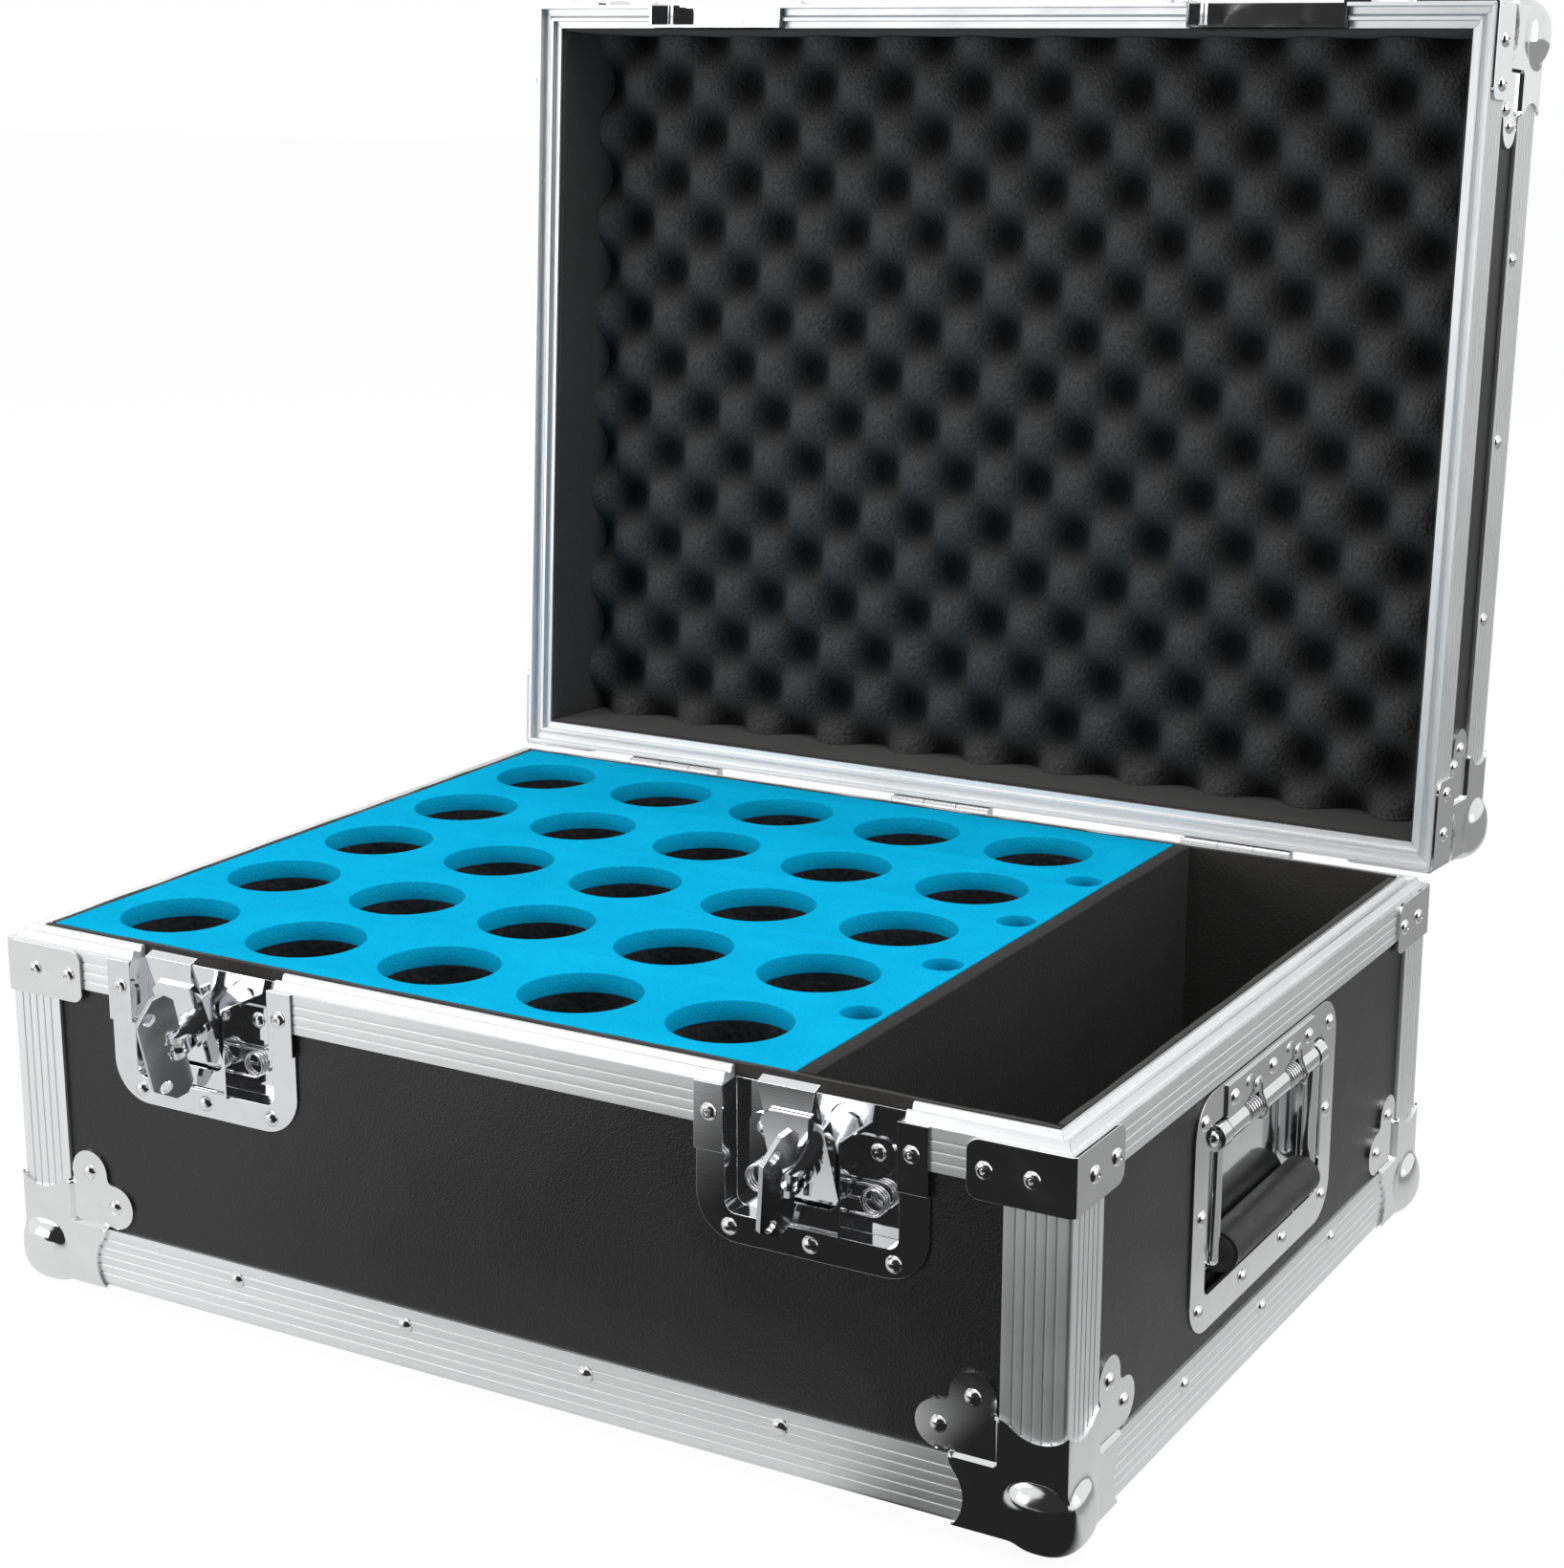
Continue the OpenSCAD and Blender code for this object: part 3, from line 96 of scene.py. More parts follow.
class Nodes:
    """Short names for building one material's node tree."""

    def __init__(self, name):
        self.mat = bpy.data.materials.new(name)
        self.mat.use_nodes = True
        self.tree = self.mat.node_tree
        self.tree.nodes.clear()
        self.out = self.add("ShaderNodeOutputMaterial")
        self.shader = self.add("ShaderNodeBsdfPrincipled")
        self.link(self.shader.outputs[0], self.out.inputs["Surface"])
        self.coord = self.add("ShaderNodeTexCoord").outputs["Object"]

    def add(self, kind, **settings):
        node = self.tree.nodes.new(kind)
        for key, value in settings.items():
            setattr(node, key, value)
        return node

    def link(self, a, b):
        self.tree.links.new(a, b)

    def set(self, **values):
        for key, value in values.items():
            self.shader.inputs[key.replace("_", " ")].default_value = value

    def stretched(self, stretch):
        node = self.add("ShaderNodeMapping")
        node.inputs["Scale"].default_value = stretch
        self.link(self.coord, node.inputs["Vector"])
        return node.outputs[0]

    def noise(self, scale, detail=4.0, rough=0.55, stretch=None, distortion=0.0):
        node = self.add("ShaderNodeTexNoise")
        node.inputs["Scale"].default_value = scale
        node.inputs["Detail"].default_value = detail
        node.inputs["Roughness"].default_value = rough
        node.inputs["Distortion"].default_value = distortion
        self.link(self.stretched(stretch) if stretch else self.coord, node.inputs["Vector"])
        return node.outputs["Fac"]

    def cells(self, scale, feature="F1", stretch=None):
        node = self.add("ShaderNodeTexVoronoi", feature=feature)
        node.inputs["Scale"].default_value = scale
        self.link(self.stretched(stretch) if stretch else self.coord, node.inputs["Vector"])
        return node.outputs["Distance"]

    def ramp(self, value, low, high, at=(0.3, 0.7)):
        """Colour or grey that goes from low to high as value goes through at."""
        node = self.add("ShaderNodeValToRGB")
        for element, place, colour in zip(node.color_ramp.elements, at, (low, high)):
            element.position = place
            element.color = colour if hasattr(colour, "__len__") else (colour, colour, colour, 1)
        self.link(value, node.inputs["Fac"])
        return node.outputs["Color"]

    def math(self, operation, a, b):
        node = self.add("ShaderNodeMath", operation=operation)
        feed(node.inputs[0], a)
        feed(node.inputs[1], b)
        return node.outputs[0]

    def mix(self, fac, a, b, kind="MIX"):
        node = self.add("ShaderNodeMix", data_type="RGBA", blend_type=kind)
        for index, value in ((0, fac), (6, a), (7, b)):
            feed(node.inputs[index], value)
        return node.outputs[2]

    def bump(self, heights, distance):
        """Chains one bump for each (height, strength) pair."""
        normal = None
        for height, strength in heights:
            node = self.add("ShaderNodeBump")
            node.inputs["Strength"].default_value = strength
            node.inputs["Distance"].default_value = distance
            self.link(height, node.inputs["Height"])
            if normal:
                self.link(normal, node.inputs["Normal"])
            normal = node.outputs[0]
        self.link(normal, self.shader.inputs["Normal"])

    def colour(self, socket):
        self.link(socket, self.shader.inputs["Base Color"])

    def roughness(self, socket):
        self.link(socket, self.shader.inputs["Roughness"])


def grey(value, alpha=1.0):
    return (value, value, value, alpha)


def laminate():
    """Fine pebbled black plastic skin on plywood, with faint rubbed patches."""
    m = Nodes("laminate")
    patches = m.noise(9, 5)
    grain = m.cells(900)
    rubbed = m.ramp(patches, 0.0, 1.0, (0.35, 0.75))
    m.colour(m.mix(rubbed, (0.009, 0.009, 0.0092, 1), (0.014, 0.0138, 0.0136, 1)))
    m.roughness(m.ramp(patches, 0.34, 0.44))
    m.set(Specular_IOR_Level=0.5)
    m.bump([(grain, 0.35), (m.noise(420, 3), 0.25)], 0.0004)
    return m.mat


def aluminium(name, stretch):
    """Satin anodised extrusion with drawing lines along it and faint handling marks."""
    m = Nodes(name)
    lines = m.noise(260, 3, 0.6, stretch)
    marks = m.noise(14, 6, 0.6)
    m.colour(m.mix(m.ramp(lines, 0.0, 1.0), (0.80, 0.81, 0.815, 1), (0.90, 0.905, 0.91, 1)))
    m.roughness(m.mix(m.ramp(marks, 0.0, 1.0, (0.4, 0.75)), grey(0.48), grey(0.58)))
    m.set(Metallic=1.0)
    m.bump([(lines, 0.10)], 0.0003)
    return m.mat


def plated(name, tint, rough, hazy):
    """Bright plated steel: mirror-like with hazy smears and fine scratches."""
    m = Nodes(name)
    haze = m.ramp(m.noise(28, 6, 0.62, distortion=0.6), 0.0, 1.0, (0.52, 0.78))
    scratch = m.noise(90, 2, 0.5, (1.0, 1.0, 14.0))
    m.colour(m.mix(m.ramp(m.noise(60, 3), 0.0, 1.0), tint, tuple(0.94 * c for c in tint[:3]) + (1,)))
    m.roughness(m.mix(haze, grey(rough), grey(hazy)))
    m.set(Metallic=1.0)
    m.bump([(m.noise(35, 2), 0.06), (scratch, 0.015)], 0.0006)
    return m.mat


def foam(name, dark, light, scale, grain, cloud=7.0, rough=0.95, sheen=0.12):
    """Foam whose cells show as grain, with cloudy patches; grain is the bump's strength."""
    m = Nodes(name)
    cells = m.cells(scale)
    cloud_fac = m.ramp(m.noise(cloud, 5, 0.6), 0.0, 1.0, (0.32, 0.68))
    speck = m.ramp(m.noise(scale * 0.9, 2), 0.0, 1.0, (0.35, 0.68))
    m.colour(m.mix(m.mix(0.5, cloud_fac, speck), dark, light))
    m.set(Roughness=rough, Specular_IOR_Level=2 * sheen, Sheen_Weight=sheen, Sheen_Roughness=0.5)
    m.bump([(cells, grain), (m.noise(scale * 0.5, 3), grain * 0.6)], 0.0008)
    return m.mat


def egg_crate_material():
    """Charcoal foam with painted shade: its colour is darker in its hollows than on its peaks."""
    m = Nodes("egg_crate_foam")
    row = CLOSE_LID.row[2]
    across = m.add("ShaderNodeVectorMath", operation="DOT_PRODUCT")
    across.inputs[1].default_value = row[:3]
    m.link(m.coord, across.inputs[0])
    depth = m.math("SUBTRACT", LID_TOP_Z - row[3], across.outputs["Value"])
    height = m.math("DIVIDE", m.math("SUBTRACT", depth, EGG_HOLLOW), EGG_PEAK - EGG_HOLLOW)
    speck = m.ramp(m.noise(560, 3), 0.75, 1.3, (0.35, 0.65))
    # Painted shade: colour goes from near black in the hollows to charcoal on the peaks, by depth below the lid's
    # top.
    shade = m.ramp(height, (0.0035, 0.0035, 0.004, 1), (0.062, 0.061, 0.061, 1), (0.12, 0.86))
    m.colour(m.mix(1.0, shade, speck, "MULTIPLY"))
    m.set(Roughness=0.95, Specular_IOR_Level=0.2, Sheen_Weight=0.08, Sheen_Roughness=0.5)
    m.bump([(m.cells(520), 0.9), (m.noise(260, 3), 0.5)], 0.0008)
    return m.mat


def rubber():
    """Black rubber grip, a little polished by hands."""
    m = Nodes("grip_rubber")
    m.colour(m.mix(m.noise(50, 4), (0.012, 0.012, 0.013, 1), (0.022, 0.022, 0.023, 1)))
    m.roughness(m.ramp(m.noise(120, 3), 0.40, 0.56))
    m.bump([(m.noise(900, 2), 0.15), (m.noise(40, 3), 0.08)], 0.0004)
    return m.mat


def plywood_edge():
    """Bare wood of the divider's board, with its grain upright."""
    m = Nodes("divider_wood")
    grain = m.noise(80, 5, 0.6, (1.0, 1.0, 9.0), 0.4)
    m.colour(m.mix(m.ramp(grain, 0.0, 1.0), (0.23, 0.10, 0.045, 1), (0.42, 0.21, 0.10, 1)))
    m.set(Roughness=0.75)
    m.bump([(grain, 0.3)], 0.0006)
    return m.mat


MATERIALS = {
    "laminate": laminate(),
    "aluminium_x": aluminium("aluminium_x", (0.03, 4, 4)),
    "aluminium_y": aluminium("aluminium_y", (4, 0.03, 4)),
    "aluminium_z": aluminium("aluminium_z", (4, 4, 0.03)),
    "bright_steel": plated("bright_steel", (0.86, 0.865, 0.87, 1), 0.07, 0.20),
    "chrome_plate": plated("chrome_plate", (0.84, 0.845, 0.86, 1), 0.05, 0.16),
    "wing_plate": plated("wing_plate", (0.62, 0.625, 0.64, 1), 0.14, 0.30),
    "spring_wire": plated("spring_wire", (0.80, 0.80, 0.81, 1), 0.12, 0.24),
    "zinc_steel": plated("zinc_steel", (0.76, 0.765, 0.77, 1), 0.24, 0.40),
    "rivets": plated("rivets", (0.88, 0.88, 0.88, 1), 0.10, 0.22),
    "black_foam": foam("black_foam", (0.006, 0.006, 0.0065, 1), (0.020, 0.020, 0.021, 1), 520, 0.9),
    "hole_foam": foam("hole_foam", (0.004, 0.004, 0.0045, 1), (0.035, 0.035, 0.036, 1), 330, 1.0),
    "lining_foam": foam("lining_foam", (0.038, 0.036, 0.035, 1), (0.056, 0.054, 0.052, 1), 800, 0.35),
    "divider_foam": foam("divider_foam", (0.012, 0.011, 0.0105, 1), (0.020, 0.0185, 0.018, 1), 900, 0.3),
    "blue_foam": foam("blue_foam", (0.003, 0.45, 0.78, 1), (0.006, 0.56, 0.93, 1), 900, 0.25, 22.0, 0.9, 0.0),
    "egg_crate_foam": egg_crate_material(),
    "grip_rubber": rubber(),
    "divider_wood": plywood_edge(),
}


# ---------------------------------------------------------------- CAD nodes that stay
def paint(obj, *names):
    obj.data.materials.clear()
    for name in names:
        obj.data.materials.append(MATERIALS[name])


def loose_pieces(mesh):
    """Lists of vertex indices, one for each separate piece, with points at one place joined."""
    key = {}
    parent = list(range(len(mesh.vertices)))

    def find(i):
        while parent[i] != i:
            parent[i] = parent[parent[i]]
            i = parent[i]
        return i

    for v in mesh.vertices:
        place = tuple(round(c / MM, 2) for c in v.co)
        if place in key:
            parent[find(v.index)] = find(key[place])
        else:
            key[place] = v.index
    for e in mesh.edges:
        parent[find(e.vertices[0])] = find(e.vertices[1])
    groups = {}
    for i in range(len(parent)):
        groups.setdefault(find(i), []).append(i)
    return [groups[k] for k in sorted(groups)]


def paint_along(obj):
    """Gives each bar of an aluminium node the material whose lines run along it."""
    paint(obj, "aluminium_x", "aluminium_y", "aluminium_z")
    axis_of = {}
    for piece in loose_pieces(obj.data):
        points = np.array([obj.data.vertices[i].co for i in piece])
        longest = int(np.argmax(points.max(0) - points.min(0)))
        for i in piece:
            axis_of[i] = longest
    for polygon in obj.data.polygons:
        polygon.material_index = axis_of[polygon.vertices[0]]


def bevelled(obj, width, segments):
    """Joins the CAD facets to clean faces and rounds their edges."""
    weld = obj.modifiers.new("weld", "WELD")
    weld.merge_threshold = 0.000002
    flat = obj.modifiers.new("flat", "DECIMATE")
    flat.decimate_type = "DISSOLVE"
    flat.angle_limit = math.radians(0.5)
    bevel = obj.modifiers.new("bevel", "BEVEL")
    bevel.width = width
    bevel.segments = segments
    bevel.limit_method = "ANGLE"
    bevel.angle_limit = math.radians(30)
    bevel.harden_normals = False
    bevel.miter_outer = "MITER_ARC"
    for polygon in obj.data.polygons:
        polygon.use_smooth = True
    normals = obj.modifiers.new("normals", "WEIGHTED_NORMAL")
    normals.keep_sharp = True


def dress_nodes():
    slots = {part["node"]: part["material_slot"] for part in frame["record"]["subparts"]}
    for name in sorted(NODES):
        obj = NODES[name]
        if slots[name] == "aluminium":
            paint_along(obj)
            bevelled(obj, 0.12 * MM, 1)
            continue
        paint(obj, slots[name])
        if slots[name] in ("chrome_plate", "bright_steel", "wing_plate", "zinc_steel"):
            bevelled(obj, 0.25 * MM, 2)


dress_nodes()


# ---------------------------------------------------------------- tools for new pieces
def link_mesh(name, mesh, material):
    """Object for a mesh, in the scene, painted and shaded smooth."""
    obj = bpy.data.objects.new(name, mesh)
    bpy.context.scene.collection.objects.link(obj)
    mesh.materials.append(MATERIALS[material])
    for polygon in mesh.polygons:
        polygon.use_smooth = True
    return obj


def mesh_piece(bm, name, material):
    """Object from a bmesh, which is freed."""
    mesh = bpy.data.meshes.new(name)
    bm.to_mesh(mesh)
    bm.free()
    return link_mesh(name, mesh, material)


def smooth_by_angle(obj, angle):
    """Edges sharper than angle, in degrees, stay sharp in the shading."""
    bm = bmesh.new()
    bm.from_mesh(obj.data)
    limit = math.radians(angle)
    for edge in bm.edges:
        edge.smooth = len(edge.link_faces) == 2 and edge.calc_face_angle(0.0) < limit
    bm.to_mesh(obj.data)
    bm.free()


def finish_piece(obj, body, node):
    """Hangs a piece on the body that carries it and hides the CAD node it stands for."""
    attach(obj, body)
    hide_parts(node)


# ---------------------------------------------------------------- foam boards
WAVE_LENGTH = 0.045
TOP_WAVE_LENGTH = 0.03


def wavy(point, size, amount, seed):
    """A smooth small shift of a point, the same in every run."""
    p = point / size + Vector((seed, seed * 1.7, seed * 2.3))
    return noise.noise_vector(p) * amount


def drawn_in(point, shift, top, wave, seed):
    """Turns a shift towards the case's middle, and lowers a point near the top."""
    inward = Vector((-math.copysign(shift.x, point.x), -math.copysign(shift.y, point.y), 0)) * 0.4
    if point.z > top:
        inward.z = -abs(wavy(point, TOP_WAVE_LENGTH, 3 * wave, seed).z)
    return inward


def cut_in_cells(bm, cell):
    """Cuts faces along planes about a cell apart. Gives the highest point's z."""
    points = np.array([v.co for v in bm.verts])
    low, high = points.min(0), points.max(0)
    for axis in range(3):
        steps = int((high[axis] - low[axis]) / cell)
        for k in range(1, steps + 1):
            place, normal = [0.0, 0.0, 0.0], [0.0, 0.0, 0.0]
            place[axis] = low[axis] + (high[axis] - low[axis]) * k / (steps + 1)
            normal[axis] = 1.0
            everything = bm.verts[:] + bm.edges[:] + bm.faces[:]
            bmesh.ops.bisect_plane(bm, geom=everything, dist=0.02 * MM, plane_co=place, plane_no=normal)
    return high[2]


def soft_copy(node, name, material, edge, cell, wave, seed, body="base", inwards=False):
    """Foam piece from a CAD node: rounded edges, a grid of points over its faces, a slight wave.

    A piece that only waves inwards keeps clear of what fits closely around it.
    """
    bm = bmesh.new()
    bm.from_mesh(NODES[node].data)
    if body == "lid":
        bm.transform(CLOSE_LID)
    bmesh.ops.remove_doubles(bm, verts=bm.verts, dist=WELD)
    bmesh.ops.dissolve_limit(bm, angle_limit=math.radians(1), verts=bm.verts, edges=bm.edges)
    corner = math.radians(40)
    sharp = [e for e in bm.edges if len(e.link_faces) == 2 and e.calc_face_angle(0.0) > corner]
    bmesh.ops.bevel(
        bm, geom=sharp, offset=edge, segments=3, profile=0.6, affect="EDGES", clamp_overlap=True
    )
    top = cut_in_cells(bm, cell) - 2 * edge
    for v in bm.verts:
        shift = wavy(v.co, WAVE_LENGTH, wave, seed)
        v.co += drawn_in(v.co, shift, top, wave, seed) if inwards else shift
    bmesh.ops.triangulate(bm, faces=[f for f in bm.faces if len(f.verts) > 4])
    if body == "lid":
        bm.transform(OPEN_LID)
    obj = mesh_piece(bm, name, material)
    smooth_by_angle(obj, 45)
    finish_piece(obj, body, node)


EDGE = 1.2 * MM
soft_copy(
    "base_lining", "base_lining_boards", "lining_foam",
    edge=EDGE, cell=14 * MM, wave=0.4 * MM, seed=1.0, inwards=True,
)
soft_copy(
    "floor_pad", "floor_pad_foam", "lining_foam",
    edge=EDGE, cell=25 * MM, wave=0.4 * MM, seed=2.0,
)
soft_copy(
    "divider_cover", "divider_wrap", "divider_foam",
    edge=0.8 * MM, cell=12 * MM, wave=0.4 * MM, seed=3.0,
)
soft_copy(
    "foam_base", "foam_base_slab", "black_foam",
    edge=EDGE, cell=40 * MM, wave=0.2 * MM, seed=4.0,
)
soft_copy(
    "lid_lining", "lid_lining_boards", "lining_foam",
    edge=EDGE, cell=14 * MM, wave=0.5 * MM, seed=5.0, body="lid",
)


# ---------------------------------------------------------------- foam with sockets
SOCKETS = [m for m in frame["record"]["mounts"] if m["kind"] == "bore"]
SOCKET_STEPS = 72
SIDE_STEPS = 36


def closed_loop(curve, points):
    spline = curve.splines.new("POLY")
    spline.points.add(len(points) - 1)
    for target, p in zip(spline.points, points):
        target.co = (p[0], p[1], 0.0, 1.0)
    spline.use_cyclic_u = True


def wandering_side(a, b, wobble, seed):
    """Points from a to b that wander inwards by up to wobble."""
    inward = Vector((-(b[1] - a[1]), b[0] - a[0], 0)).normalized()
    points = []
    for k in range(SIDE_STEPS):
        x = a[0] + (b[0] - a[0]) * k / SIDE_STEPS
        y = a[1] + (b[1] - a[1]) * k / SIDE_STEPS
        p = Vector((x, y, 0))
        uneven = 0.5 + 0.5 * noise.noise(p / 0.03 + Vector((seed, 0, 0)))
        points.append(p + inward * (uneven * wobble) if k else p)
    return points


def wandering_ring(socket, wobble, seed):
    """Outline of one socket, cut by hand: its radius wanders by up to wobble."""
    x, y, _ = socket["pos_m"]
    r = socket["dims"]["r_mm"] * MM
    ring = []
    for k in range(SOCKET_STEPS):
        a = 2 * math.pi * k / SOCKET_STEPS
        uneven = 0.5 + 0.5 * noise.noise(Vector((math.cos(a), math.sin(a), seed)))
        out = 1 - wobble / r * uneven
        ring.append((x + r * out * math.cos(a), y + r * out * math.sin(a)))
    return ring


def socket_slab(name, node, edge, wobble, seed, material):
    """Foam sheet with rounded edges and the sockets cut through it."""
    low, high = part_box(node)
    half = (high[2] - low[2]) / 2
    curve = bpy.data.curves.new(name, "CURVE")
    curve.dimensions = "2D"
    curve.fill_mode = "BOTH"
    curve.extrude = half - edge
    curve.bevel_depth = edge
    curve.bevel_resolution = 2
    curve.offset = -edge
    corners = [(low[0], low[1]), (high[0], low[1]), (high[0], high[1]), (low[0], high[1])]
    outline = []
    for a, b in zip(corners, corners[1:] + corners[:1]):
        outline += wandering_side(a, b, wobble, seed)
    closed_loop(curve, outline)
    for index, socket in enumerate(SOCKETS):
        closed_loop(curve, wandering_ring(socket, wobble, seed + index * 3.1))
    holder = bpy.data.objects.new(name + "_curve", curve)
    bpy.context.scene.collection.objects.link(holder)
    bpy.context.view_layer.update()
    evaluated = holder.evaluated_get(bpy.context.evaluated_depsgraph_get())
    mesh = bpy.data.meshes.new_from_object(evaluated)
    bpy.data.objects.remove(holder)
    mesh.name = name
    mesh.transform(Matrix.Translation((0, 0, low[2] + half)))
    bm = bmesh.new()
    bm.from_mesh(mesh)
    bmesh.ops.remove_doubles(bm, verts=bm.verts, dist=WELD)
    bmesh.ops.recalc_face_normals(bm, faces=bm.faces)
    bm.to_mesh(mesh)
    bm.free()
    mesh.materials.clear()
    obj = link_mesh(name, mesh, material)
    smooth_by_angle(obj, 35)
    finish_piece(obj, "base", node)


socket_slab("blue_top_sheet", "blue_sheet", 0.7 * MM, 0.7 * MM, 7.0, "blue_foam")
socket_slab("socket_foam", "foam_block", 0.4 * MM, 0.5 * MM, 11.0, "hole_foam")


# ---------------------------------------------------------------- egg-crate pad
EGG_FINE = 8
EGG_ROUND = 0.82


def egg_depth(i, j, x, y):
    """Depth of the egg-crate surface below the lid's top at one point of its grid."""
    c = math.cos(math.pi * (i / EGG_FINE)) * math.cos(math.pi * (j / EGG_FINE))
    shape = math.copysign(abs(c) ** EGG_ROUND, c)
    uneven = 0.97 + 0.06 * noise.noise(Vector((x, y, 3.0)) / 0.04)
    return (EGG_HOLLOW + EGG_PEAK) / 2 + shape * (EGG_PEAK - EGG_HOLLOW) / 2 * uneven


def egg_crate():
    """Fine cosine surface with soft round peaks over deeper hollows, closed at the sides and back."""
    points = np.array([CLOSE_LID @ v.co for v in NODES["egg_crate_pad"].data.vertices])
    low, high = points.min(0), points.max(0)
    nx, ny = [round((high[a] - low[a]) / EGG_HALF_PITCH[a]) * EGG_FINE for a in (0, 1)]
    vertices = []
    for j in range(ny + 1):
        for i in range(nx + 1):
            x = low[0] + (high[0] - low[0]) * i / nx
            y = low[1] + (high[1] - low[1]) * j / ny
            inside = min(i, nx - i, j, ny - j) / EGG_FINE
            lean = noise.noise_vector(Vector((x, y, 0.0)) / 0.05) * 0.9 * MM * min(inside, 1.0)
            z = LID_TOP_Z - egg_depth(i, j, x, y)
            vertices.append(Vector((x + lean.x, y + lean.y, z)))
    row = nx + 1
    faces = []
    for j in range(ny):
        for i in range(nx):
            a = j * row + i
            faces.append((a, a + row, a + row + 1, a + 1))
    rim = list(range(nx)) + [j * row + nx for j in range(ny)]
    rim += [ny * row + i for i in range(nx, 0, -1)] + [j * row for j in range(ny, 0, -1)]
    start = len(vertices)
    back_z = LID_TOP_Z - EGG_OUT_LOW
    vertices += [Vector((vertices[k].x, vertices[k].y, back_z)) for k in rim]
    count = len(rim)
    for k in range(count):
        n = (k + 1) % count
        faces.append((rim[k], rim[n], start + n, start + k))
    faces.append(tuple(start + k for k in range(count)))
    mesh = bpy.data.meshes.new("egg_crate_foam")
    mesh.from_pydata([tuple(OPEN_LID @ v) for v in vertices], [], faces)
    mesh.validate()
    obj = link_mesh("egg_crate_foam", mesh, "egg_crate_foam")
    smooth_by_angle(obj, 50)
    finish_piece(obj, "lid", "egg_crate_pad")


egg_crate()


# ---------------------------------------------------------------- ball corners
# A corner's own frame: x, y and z go inwards from the case's corner, 0 on the extrusions' faces.
BALL_R, BALL_C = 19.0 * MM, 12.0 * MM
BALL_POWER = 2.45
PLATE_T, EXT_T, EXT_FACE = 1.5 * MM, 2.0 * MM, 30.0 * MM
STEP_W = 1.6 * MM
CORNER_CUT = 8.0 * MM
BLEND = 1.4 * MM
FOLD_R = 2.0 * MM
CORNER_CELL = 1.5 * MM
FAR_OUT = 60 * MM


def arc(centre, r, a0, a1, count):
    """Points on an arc from a0 to a1 degrees."""
    angles = [math.radians(a0 + (a1 - a0) * k / count) for k in range(count + 1)]
    return [centre + r * Vector((math.cos(a), math.sin(a))) for a in angles]


def ear_outline():
    """Edge of one face of a ball corner, from one case edge round the ears to the other."""
    hollow, hollow_r = Vector((64, 12)) * MM, 19 * MM
    shoulder = Vector((52.0, 29.6)) * MM
    lobe, lobe_r = Vector((57.5, 42)) * MM, 11 * MM
    notch = Vector((53.0, 53.0)) * MM
    at_edge = math.degrees(math.asin((hollow.y + PLATE_T) / hollow_r))
    at_leg = math.degrees(math.asin(14.7 * MM / hollow_r))
    half = arc(hollow, hollow_r, 180 + at_edge, 180 - at_leg, 16)
    half[0] = Vector((half[0].x, -PLATE_T))
    half.append(shoulder)
    half += arc(lobe, lobe_r, -120, 100, 22)
    full = half + [notch] + [Vector((p.y, p.x)) for p in reversed(half)]
    for _ in range(2):
        inner = [(full[k - 1] + 2 * full[k] + full[k + 1]) / 4 for k in range(1, len(full) - 1)]
        full = [full[0]] + inner + [full[-1]]
    return full


def outside_corner(q):
    """Roughly the distance from the folded plate and the pressed ball, joined by a fillet."""
    edge = (FOLD_R - PLATE_T) - q
    plate = np.linalg.norm(np.maximum(edge, 0), axis=1) + np.minimum(edge.max(1), 0) - FOLD_R
    plate = np.maximum(plate, (CORNER_CUT - q.sum(1)) / math.sqrt(3))
    ball = (np.abs(q - BALL_C) ** BALL_POWER).sum(1) ** (1 / BALL_POWER) - BALL_R
    near = np.maximum(BLEND - np.abs(plate - ball), 0) / BLEND
    return np.minimum(plate, ball) - near * near * BLEND / 4


def corner_surface(points):
    """Outer skin of a ball corner over points of one face's plane, and how far each is on the ear."""
    p = np.array([(q[0], q[1], -PLATE_T) for q in points])
    inner = np.maximum(p, BALL_C)
    ray = p - inner
    ray /= np.linalg.norm(ray, axis=1)[:, None]
    low, high = np.zeros(len(p)), np.full(len(p), FAR_OUT)
    for _ in range(40):
        middle = (low + high) / 2
        outside = outside_corner(inner + ray * middle[:, None]) > 0
        high = np.where(outside, middle, high)
        low = np.where(outside, low, middle)
    skin = inner + ray * high[:, None]
    step = np.clip((np.minimum(p[:, 0], p[:, 1]) - EXT_FACE) / STEP_W, 0, 1)
    step = step * step * (3 - 2 * step)
    skin[:, 2] += EXT_T * step
    return skin, step


def filled(loop, cell):
    """Points and triangles that fill a loop in the plane, and where its own points went."""
    grid = []
    low = [min(p[a] for p in loop) for a in (0, 1)]
    high = [max(p[a] for p in loop) for a in (0, 1)]
    for i in range(1, int((high[0] - low[0]) / cell) + 1):
        for j in range(1, int((high[1] - low[1]) / cell) + 1):
            q = Vector((low[0] + i * cell, low[1] + j * cell))
            if min((q - w).length_squared for w in loop) > (cell * 0.55) ** 2:
                grid.append(q)
    border = [list(range(len(loop)))]
    points, _, faces, source, _, _ = geometry.delaunay_2d_cdt(loop + grid, [], border, 1, 1e-7)
    place = {s: k for k, sources in enumerate(source) for s in sources}
    return points, [f for f in faces if len(set(f)) > 2], place


def skin_and_back(bm, skin, back, faces, rim):
    """Adds two matching sheets and the strip that joins them along the rim's points."""
    top = [bm.verts.new(v) for v in skin]
    low = [bm.verts.new(v) for v in back]
    for face in faces:
        bm.faces.new([top[k] for k in reversed(face)])
        bm.faces.new([low[k] for k in face])
    for a, b in zip(rim, rim[1:]):
        bm.faces.new([top[a], top[b], low[b], low[a]])


